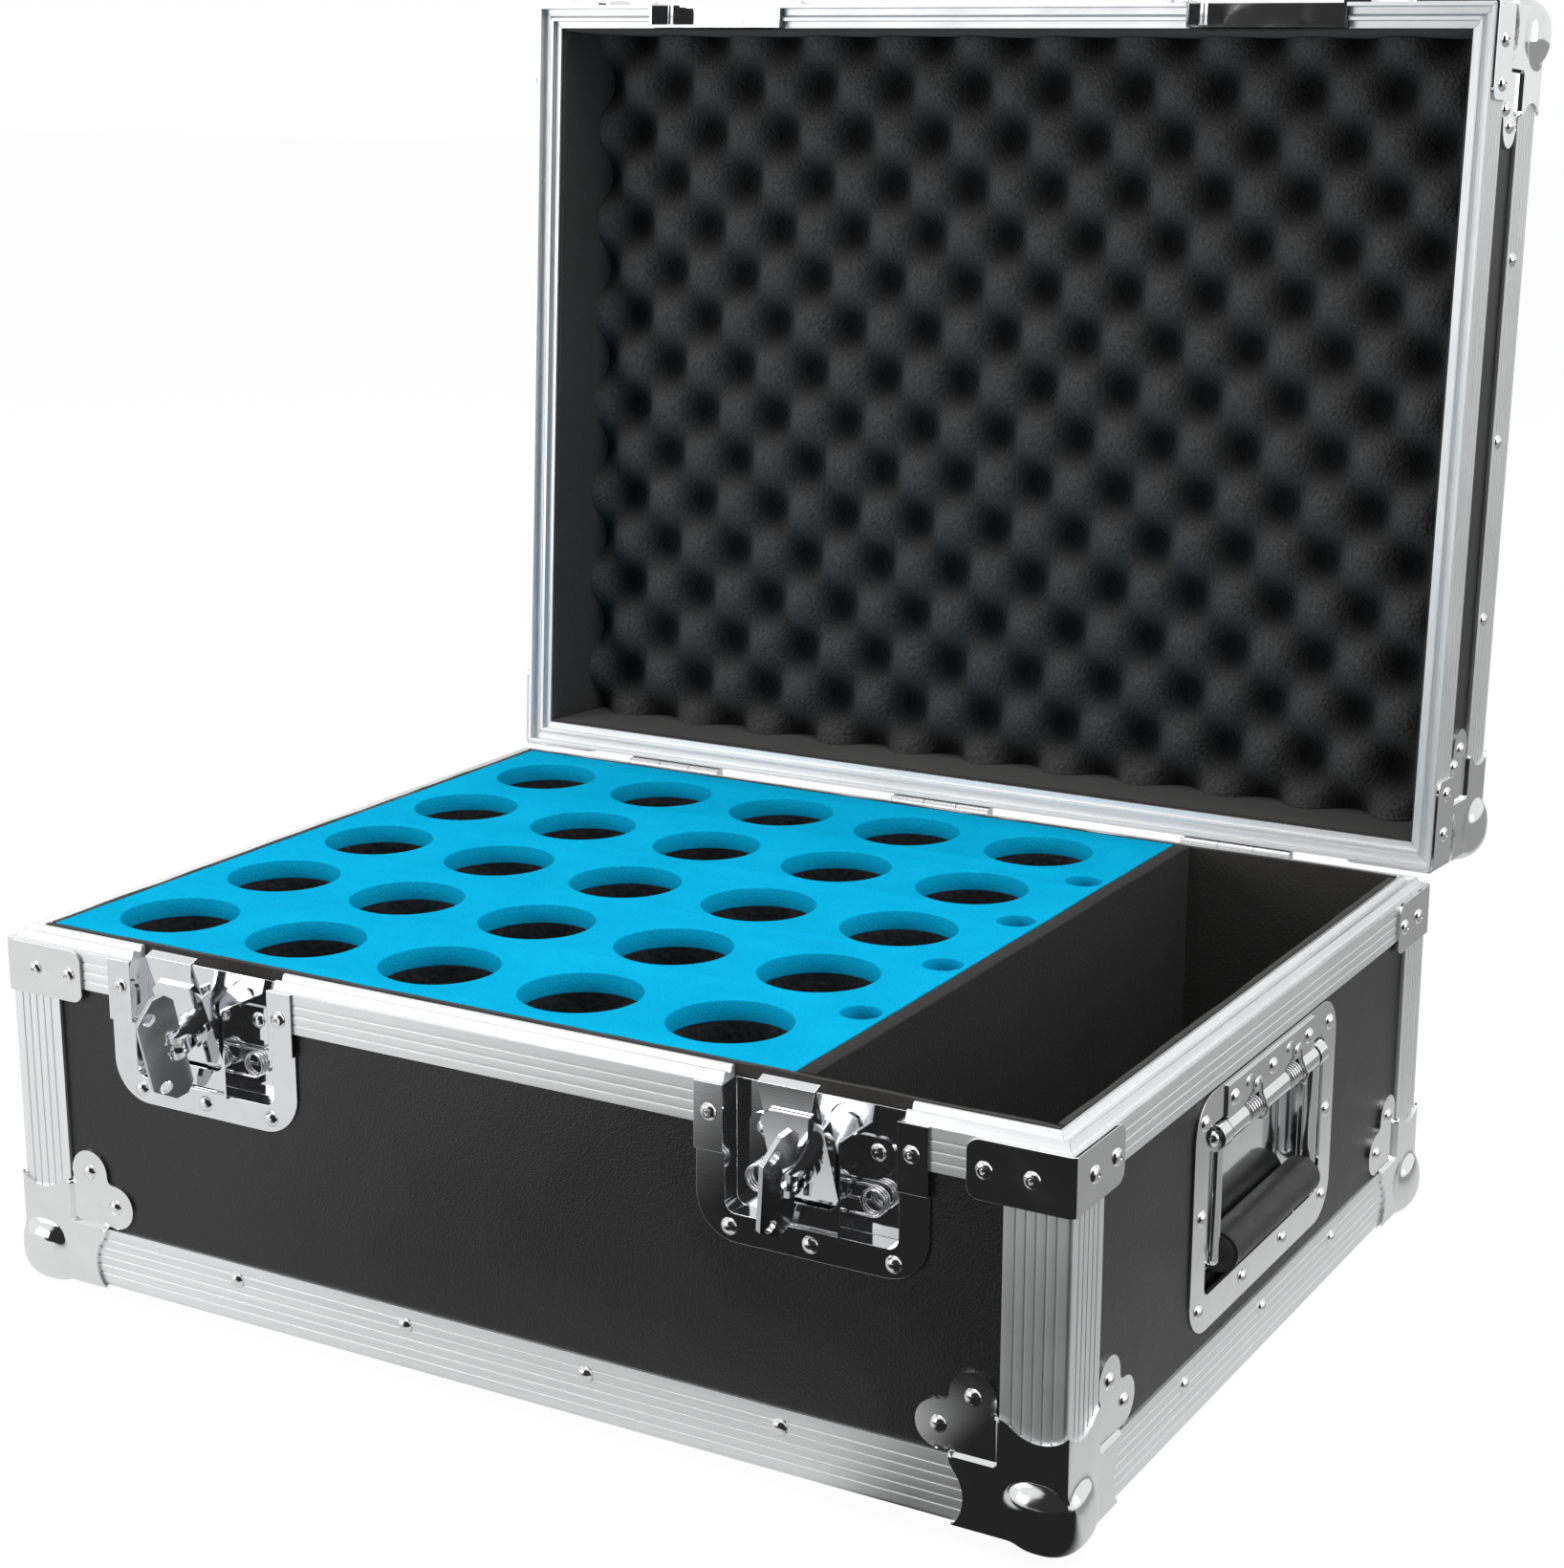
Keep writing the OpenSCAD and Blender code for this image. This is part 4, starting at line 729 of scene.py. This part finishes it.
def tidy_shell(bm):
    """Joins a shell's sheets where they meet."""
    bmesh.ops.remove_doubles(bm, verts=bm.verts, dist=0.02 * MM)
    bmesh.ops.dissolve_degenerate(bm, dist=0.005 * MM, edges=bm.edges)
    bmesh.ops.recalc_face_normals(bm, faces=bm.faces)


def ball_corner_shell(trim=None):
    """One ball corner in its own frame, cut off above trim."""
    outline = ear_outline()
    edge_count = 30
    along = [-PLATE_T + (outline[0].x + PLATE_T) * k / edge_count for k in range(edge_count)]
    loop = [Vector((s, -PLATE_T)) for s in along] + outline
    loop += [Vector((-PLATE_T, s)) for s in reversed(along[1:])]
    points, faces, place = filled(loop, CORNER_CELL)
    skin, step = corner_surface(points)
    back = [Vector((max(v[0], 0), max(v[1], 0), max(v[2], EXT_T * s))) for v, s in zip(skin, step)]
    rim = [place[k] for k in range(edge_count, edge_count + len(outline))]
    bm = bmesh.new()
    for turn in range(3):
        order = [(turn + k) % 3 for k in range(3)]
        turned = [[Vector([v[k] for k in order]) for v in sheet] for sheet in (skin, back)]
        skin_and_back(bm, turned[0], turned[1], faces, rim)
    tidy_shell(bm)
    if trim:
        everything = bm.verts[:] + bm.edges[:] + bm.faces[:]
        cut = bmesh.ops.bisect_plane(
            bm, geom=everything, plane_co=(0, 0, trim), plane_no=(0, 0, 1), clear_outer=True
        )
        edges = [e for e in cut["geom_cut"] if isinstance(e, bmesh.types.BMEdge)]
        bmesh.ops.holes_fill(bm, edges=edges, sides=0)
    return bm


def bracket_shell(tall, foot):
    """Corner bracket in the corner's frame: one plate bent round the upright edge."""
    leg, bend, corner = 48.0 * MM, 2.2 * MM, 5.0 * MM
    half = leg - bend + math.pi * bend / 4
    bulge = 1.2 * MM
    cell = 2.0 * MM
    loop = []
    for cx, cy, a0 in ((1, 1, 0), (-1, 1, 90), (-1, 0, 180), (1, 0, 270)):
        centre = Vector((cx * (half - corner), foot + corner if cy == 0 else foot + tall - corner))
        for p in arc(centre, corner, a0, a0 + 90, 8):
            level = (p.y - foot) / tall * 2 - 1
            loop.append(Vector((p.x + cx * bulge * (1 - level * level) - cx * bulge, p.y)))
    dense = []
    for a, b in zip(loop, loop[1:] + loop[:1]):
        pieces = max(1, int((b - a).length / cell))
        dense += [a + (b - a) * k / pieces for k in range(pieces)]
    points, faces, place = filled(dense, cell)

    def bent(u, z, depth):
        """Point at u along the plate, depth below its outer skin."""
        r = bend - depth
        quarter = math.pi * bend / 4
        if abs(u) <= quarter:
            across = math.sin(u / bend) * math.sqrt(0.5)
            along = math.cos(u / bend) * math.sqrt(0.5)
            middle = bend - PLATE_T
            return Vector((middle + r * (across - along), middle - r * (across + along), z))
        far = bend - PLATE_T + abs(u) - quarter
        return Vector((far, depth - PLATE_T, z)) if u > 0 else Vector((depth - PLATE_T, far, z))

    bm = bmesh.new()
    rim = [place[k] for k in range(len(dense))] + [place[0]]
    skin = [bent(p[0], p[1], 0.0) for p in points]
    back = [bent(p[0], p[1], PLATE_T - 0.03 * MM) for p in points]
    skin_and_back(bm, skin, back, faces, rim)
    tidy_shell(bm)
    return bm


def at_corners(bm, name, node, body, frames):
    """One piece with a copy of a shell at each of four corners."""
    joined = bmesh.new()
    for matrix in frames:
        copy = bm.copy()
        copy.transform(matrix)
        if matrix.determinant() < 0:
            bmesh.ops.reverse_faces(copy, faces=copy.faces)
        part = bpy.data.meshes.new("part")
        copy.to_mesh(part)
        joined.from_mesh(part)
        bpy.data.meshes.remove(part)
        copy.free()
    bm.free()
    obj = mesh_piece(joined, name, "bright_steel")
    smooth_by_angle(obj, 38)
    rim = obj.modifiers.new("rim", "BEVEL")
    rim.width = 0.22 * MM
    rim.segments = 2
    rim.limit_method = "ANGLE"
    rim.angle_limit = math.radians(50)
    finish_piece(obj, body, node)


def corner_frame(sx, sy, z, upwards):
    """Takes the corner's frame to one upright edge of the closed case, at height z."""
    place = Matrix.Translation((sx * CASE_W / 2, sy * CASE_D / 2, z))
    return place @ Matrix.Diagonal((-sx, -sy, upwards, 1))


SIDES = [(sx, sy) for sx in (-1, 1) for sy in (-1, 1)]
BASE_CORNERS = [corner_frame(sx, sy, FOOT, 1) for sx, sy in SIDES]
LID_CORNERS = [OPEN_LID @ corner_frame(sx, sy, LID_TOP_Z, -1) for sx, sy in SIDES]
# The lid's lower ears are cut off here, short of the rim extrusion.
LID_EAR_END = 57.9 * MM
BASE_BRACKET = bracket_shell(tall=25.8 * MM, foot=144 * MM)
LID_BRACKET = bracket_shell(tall=27.8 * MM, foot=52 * MM)
at_corners(ball_corner_shell(), "base_corner_balls", "base_ball_corners", "base", BASE_CORNERS)
at_corners(
    ball_corner_shell(LID_EAR_END), "lid_corner_balls", "lid_ball_corners", "lid", LID_CORNERS
)
at_corners(BASE_BRACKET, "base_bent_brackets", "base_corner_brackets", "base", BASE_CORNERS)
at_corners(LID_BRACKET, "lid_bent_brackets", "lid_corner_brackets", "lid", LID_CORNERS)


# ---------------------------------------------------------------- rivets
# Outlines of the heads as (radius, height) in millimetres, for a head 8 mm across.
DOME = [(0, 2.15), (1.2, 2.05), (2.3, 1.65), (3.2, 1.0), (3.8, 0.35), (3.95, 0.0), (3.95, -0.3)]
DIMPLED = [
    (0, 0.75), (0.75, 0.75), (0.85, 1.45), (1.15, 1.75), (1.5, 1.62), (1.9, 1.75), (2.6, 1.55),
    (3.4, 0.95), (3.9, 0.35), (3.95, 0.0), (3.95, -0.3),
]
HEAD_D = 8 * MM
LATHE_SIDES = 24


def lathe(bm, profile, matrix):
    """Turns a profile of (radius, height) points in millimetres round z."""
    rings = []
    for r, h in profile:
        if r == 0:
            rings.append([bm.verts.new(matrix @ Vector((0, 0, h * MM)))])
            continue
        ring = []
        for k in range(LATHE_SIDES):
            a = 2 * math.pi * k / LATHE_SIDES
            point = Vector((r * MM * math.cos(a), r * MM * math.sin(a), h * MM))
            ring.append(bm.verts.new(matrix @ point))
        rings.append(ring)
    for a, b in zip(rings, rings[1:]):
        for k in range(LATHE_SIDES):
            n = (k + 1) % LATHE_SIDES
            if len(a) == 1:
                bm.faces.new([a[0], b[k], b[n]])
            else:
                bm.faces.new([a[k], b[k], b[n], a[n]])
    bm.faces.new(list(reversed(rings[-1])))


def rivet_seat(points):
    """Frame of one rivet, its size against the profiles', and its profile, all of the closed case."""
    low, high = points.min(0), points.max(0)
    axis = int(np.argmin(high - low))
    side = (axis + 1) % 3
    at_low, at_high = [
        points[np.abs(points[:, axis] - end) < 0.02 * MM][:, side] for end in (low[axis], high[axis])
    ]
    up = 1.0 if np.ptp(at_low) > np.ptp(at_high) else -1.0
    middle = (low + high) / 2
    seat = middle.copy()
    seat[axis] = low[axis] if up > 0 else high[axis]
    direction = Vector((0, 0, 0))
    direction[axis] = up
    matrix = Matrix.Translation(seat) @ direction.to_track_quat("Z", "Y").to_matrix().to_4x4()
    near_rim = abs(middle[2] - RIM_Z) < 18 * MM and abs(middle[1]) < CASE_D / 2 + 3 * MM
    sunk = abs(middle[1]) < CASE_D / 2 - 5 * MM and axis == 1
    return matrix, (high - low)[side] / HEAD_D, DIMPLED if near_rim and not sunk else DOME


def rivet_heads(node, name, body, close=Matrix(), back_open=Matrix()):
    """A turned head in the place of each CAD rivet; those of tabs and brackets have a dimple."""
    mesh = NODES[node].data
    bm = bmesh.new()
    for piece in loose_pieces(mesh):
        points = np.array([close @ mesh.vertices[i].co for i in piece])
        matrix, size, profile = rivet_seat(points)
        lathe(bm, [(r * size, h) for r, h in profile], back_open @ matrix)
    bmesh.ops.recalc_face_normals(bm, faces=bm.faces)
    obj = mesh_piece(bm, name, "rivets")
    smooth_by_angle(obj, 60)
    finish_piece(obj, body, node)


rivet_heads("base_rivets", "base_rivet_heads", "base")
rivet_heads("lid_rivets", "lid_rivet_heads", "lid", CLOSE_LID, OPEN_LID)


# ---------------------------------------------------------------- springs
# Lengths here are in millimetres. Heights are above the extrusions' underside.
WIRE_R = 0.75
WIRE_SIDES = 10
LATCH_X, LATCH_ARM_X, LATCH_ROD_Z = 162, 27, 130
HANDLE_WINDOW_Y = 25


def tube(bm, path, radius):
    """Round wire along a path, with closed ends."""
    normal = None
    rings = []
    for i, p in enumerate(path):
        t = (path[min(i + 1, len(path) - 1)] - path[max(i - 1, 0)]).normalized()
        if normal is None:
            normal = t.orthogonal().normalized()
        normal = (normal - t * normal.dot(t)).normalized()
        side = t.cross(normal)
        ring = []
        for k in range(WIRE_SIDES):
            a = 2 * math.pi * k / WIRE_SIDES
            ring.append(bm.verts.new(p + radius * (normal * math.cos(a) + side * math.sin(a))))
        rings.append(ring)
    for a, b in zip(rings, rings[1:]):
        for k in range(WIRE_SIDES):
            n = (k + 1) % WIRE_SIDES
            bm.faces.new([a[k], a[n], b[n], b[k]])
    bm.faces.new(list(reversed(rings[0])))
    bm.faces.new(rings[-1])


def latch_coil():
    """Same wire as the CAD one, with more points: arm, two and a half turns, arm."""
    r, turns, pitch, y0, steps = 5.5, 2.5, 2.05, 9.05, 60
    arm = (-10.2, -7, -3)
    path = [(x, y0, r) for x in arm]
    for i in range(steps + 1):
        a = math.radians(90 - 360 * turns * i / steps)
        path.append((r * math.cos(a), y0 - pitch * turns * i / steps, r * math.sin(a)))
    return path + [(x, y0 - pitch * turns, -r) for x in reversed(arm)]


def handle_coil():
    """Same wire as the CAD one: five turns on the rod, then an arm with a hooked end."""
    coils, pitch, per_turn = 5, 2.6, 24
    rod_t, rod_z, r = 2.5, 126.0, 4.0 + 0.6 + 0.75
    lift, hook_r, hook_step = 13.5, 4, 15
    arm_y = -2.4
    steps = coils * per_turn
    path = []
    for i in range(steps + 1):
        a = math.radians(270 + 360 * coils * i / steps)
        x = pitch * (i / per_turn - coils / 2)
        path.append((x, rod_t + r * math.cos(a), rod_z + r * math.sin(a)))
    x = pitch * coils / 2
    path.append((x, rod_t - r - 1.6, rod_z - r + 1))
    path.append((x, rod_t - r - 2.6, rod_z))
    path.append((x, arm_y, rod_z + lift / 2))
    for k in range(13):
        a = math.radians(hook_step * k)
        path.append((x - hook_r + hook_r * math.cos(a), arm_y, rod_z + lift - 2 + hook_r * math.sin(a)))
    return path


def at_latch(side, arm, point):
    x, y, z = point
    place = Vector((side * LATCH_X + arm * (LATCH_ARM_X + x), -CASE_D / MM / 2 + y, LATCH_ROD_Z + z))
    return place * MM + Vector((0, 0, FOOT))


def at_handle(side, window, point):
    x, y, z = point
    place = Vector((side * (CASE_W / MM / 2 - y), side * (x + window * HANDLE_WINDOW_Y), z))
    return place * MM + Vector((0, 0, FOOT))


def springs(name, node, coil, placed):
    """Four springs as one piece: two at each of the case's two latches or handles."""
    bm = bmesh.new()
    for side, end in SIDES:
        tube(bm, [placed(side, end, point) for point in coil], WIRE_R * MM)
    bmesh.ops.recalc_face_normals(bm, faces=bm.faces)
    obj = mesh_piece(bm, name, "spring_wire")
    finish_piece(obj, "base", node)


springs("latch_spring_coils", "latch_springs", latch_coil(), at_latch)
springs("handle_spring_coils", "handle_springs", handle_coil(), at_handle)


# ---------------------------------------------------------------- stage, light and camera
def make_camera():
    """The photograph's camera."""
    data = bpy.data.cameras.new("camera")
    data.sensor_fit = "HORIZONTAL"
    data.sensor_width = SENSOR_MM
    data.lens = SENSOR_MM * CAMERA_FOCAL_PX / IMAGE_W_PX
    data.clip_end = 50
    camera = bpy.data.objects.new("camera", data)
    bpy.context.scene.collection.objects.link(camera)
    camera.location = CAMERA_PLACE
    camera.rotation_euler = CAMERA_AIM.to_track_quat("-Z", "Y").to_euler()
    bpy.context.scene.camera = camera


def new_node(tree, kind, inputs=(), **settings):
    """Adds a node with settings; inputs holds (socket, value) pairs."""
    node = tree.nodes.new(kind)
    for key, value in settings.items():
        setattr(node, key, value)
    for name, value in inputs:
        feed(node.inputs[name], value)
    return node


def smooth_range(tree, value, between, to):
    """Output that goes smoothly from to[0] to to[1] as value goes through between."""
    inputs = [("Value", value), ("From Min", between[0]), ("From Max", between[1])]
    inputs += [("To Min", to[0]), ("To Max", to[1])]
    return new_node(tree, "ShaderNodeMapRange", inputs, interpolation_type="SMOOTHSTEP").outputs[0]


def blend(tree, fac, a, b):
    """a where fac is 0, b where it is 1; a and b are numbers or outputs."""
    return new_node(tree, "ShaderNodeMix", [(0, fac), (2, a), (3, b)]).outputs[0]


def mix_shader(tree, fac, a, b):
    return new_node(tree, "ShaderNodeMixShader", [(0, fac), (1, a), (2, b)]).outputs[0]


FLOOR_HALF = 12.0
FLOOR_DROP = 0.2 * MM
FLOOR_COLOUR = 0.85
# How much of the floor that the camera sees is even light, and how bright that light is.
FLOOR_SEEN = 0.86
FLOOR_LIGHT = 1.08
# Brightness of the floor in reflections.
LEFT_BRIGHT, FRONT_BRIGHT = 0.80, 0.02
WORLD_FRONT = (0.35, -0.94, 0.0)
WORLD_FILL = 0.46


def floor_in_mirrors(tree):
    """Brightness of the floor in reflections: bright on the left and right, dark in front."""
    coord = new_node(tree, "ShaderNodeTexCoord").outputs["Object"]
    place = new_node(tree, "ShaderNodeSeparateXYZ", [(0, coord)])
    x, y = place.outputs[0], place.outputs[1]
    beside = smooth_range(tree, x, between=(0.29, 0.42), to=(0.66, 0.34))
    beyond_strip = smooth_range(tree, y, between=(-0.35, -0.28), to=(1.0, 0.0))
    by_corner = smooth_range(tree, y, between=(-0.215, -0.195), to=(1.0, 0.0))
    near_corner = smooth_range(tree, x, between=(0.15, 0.20), to=(0.0, 1.0))
    on_left = smooth_range(tree, x, between=(-0.30, -0.03), to=(1.0, 0.0))
    in_front = blend(tree, near_corner, beyond_strip, by_corner)
    return blend(tree, on_left, blend(tree, in_front, beside, FRONT_BRIGHT), LEFT_BRIGHT)


def make_floor():
    """Pale floor, mostly an even light to the camera, and a pattern of its own in reflections."""
    mesh = bpy.data.meshes.new("floor")
    corners = [(-FLOOR_HALF, -FLOOR_HALF, 0), (FLOOR_HALF, -FLOOR_HALF, 0)]
    corners += [(FLOOR_HALF, FLOOR_HALF, 0), (-FLOOR_HALF, FLOOR_HALF, 0)]
    mesh.from_pydata(corners, [], [(0, 1, 2, 3)])
    floor = bpy.data.objects.new("floor", mesh)
    bpy.context.scene.collection.objects.link(floor)
    floor.location.z = -FLOOR_DROP
    m = bpy.data.materials.new("floor")
    m.use_nodes = True
    tree = m.node_tree
    tree.nodes.clear()
    path = new_node(tree, "ShaderNodeLightPath")
    diffuse = new_node(tree, "ShaderNodeBsdfDiffuse", [("Color", grey(FLOOR_COLOUR))])
    seen = new_node(tree, "ShaderNodeEmission", [("Strength", FLOOR_LIGHT)])
    glow = new_node(tree, "ShaderNodeEmission", [("Strength", floor_in_mirrors(tree))])
    inputs = [(0, path.outputs["Is Camera Ray"]), (1, FLOOR_SEEN)]
    share = new_node(tree, "ShaderNodeMath", inputs, operation="MULTIPLY")
    shader = mix_shader(tree, share.outputs[0], diffuse.outputs[0], seen.outputs[0])
    shader = mix_shader(tree, path.outputs["Is Glossy Ray"], shader, glow.outputs[0])
    new_node(tree, "ShaderNodeOutputMaterial", [("Surface", shader)])
    mesh.materials.append(m)


def make_world():
    """White where the camera looks; for reflections a bright studio that is dark towards the front."""
    world = bpy.data.worlds.new("studio")
    bpy.context.scene.world = world
    world.use_nodes = True
    tree = world.node_tree
    tree.nodes.clear()
    path = new_node(tree, "ShaderNodeLightPath")
    direction = new_node(tree, "ShaderNodeTexCoord").outputs["Generated"]
    inputs = [(0, direction), (1, WORLD_FRONT)]
    front = new_node(tree, "ShaderNodeVectorMath", inputs, operation="DOT_PRODUCT").outputs["Value"]
    mirrored = smooth_range(tree, front, between=(0.58, 0.72), to=(0.90, 0.03))
    fill, studio, white = [
        new_node(tree, "ShaderNodeBackground", [("Color", grey(1.0)), ("Strength", level)]).outputs[0]
        for level in (WORLD_FILL, mirrored, 1.0)
    ]
    shader = mix_shader(tree, path.outputs["Is Glossy Ray"], fill, studio)
    shader = mix_shader(tree, path.outputs["Is Camera Ray"], shader, white)
    new_node(tree, "ShaderNodeOutputWorld", [("Surface", shader)])


def area_light(name, place, aim, size, power):
    """Rectangular lamp at place, turned towards aim; power is in watts."""
    data = bpy.data.lights.new(name, "AREA")
    data.shape = "RECTANGLE"
    data.size, data.size_y = size
    data.energy = power
    lamp = bpy.data.objects.new(name, data)
    bpy.context.scene.collection.objects.link(lamp)
    lamp.location = place
    lamp.rotation_euler = (Vector(aim) - Vector(place)).to_track_quat("-Z", "Y").to_euler()


make_camera()
make_floor()
make_world()
area_light("top", (0.1, 0.1, 2.6), (0, 0, 0.2), (2.2, 1.8), 30)
area_light("right", (2.4, 0.2, 1.2), (0, 0, 0.2), (1.2, 1.8), 16)
area_light("left_front", (-1.9, -2.6, 0.9), (0, 0, 0.15), (1.4, 0.9), 26)
bpy.context.scene.view_settings.view_transform = "Standard"
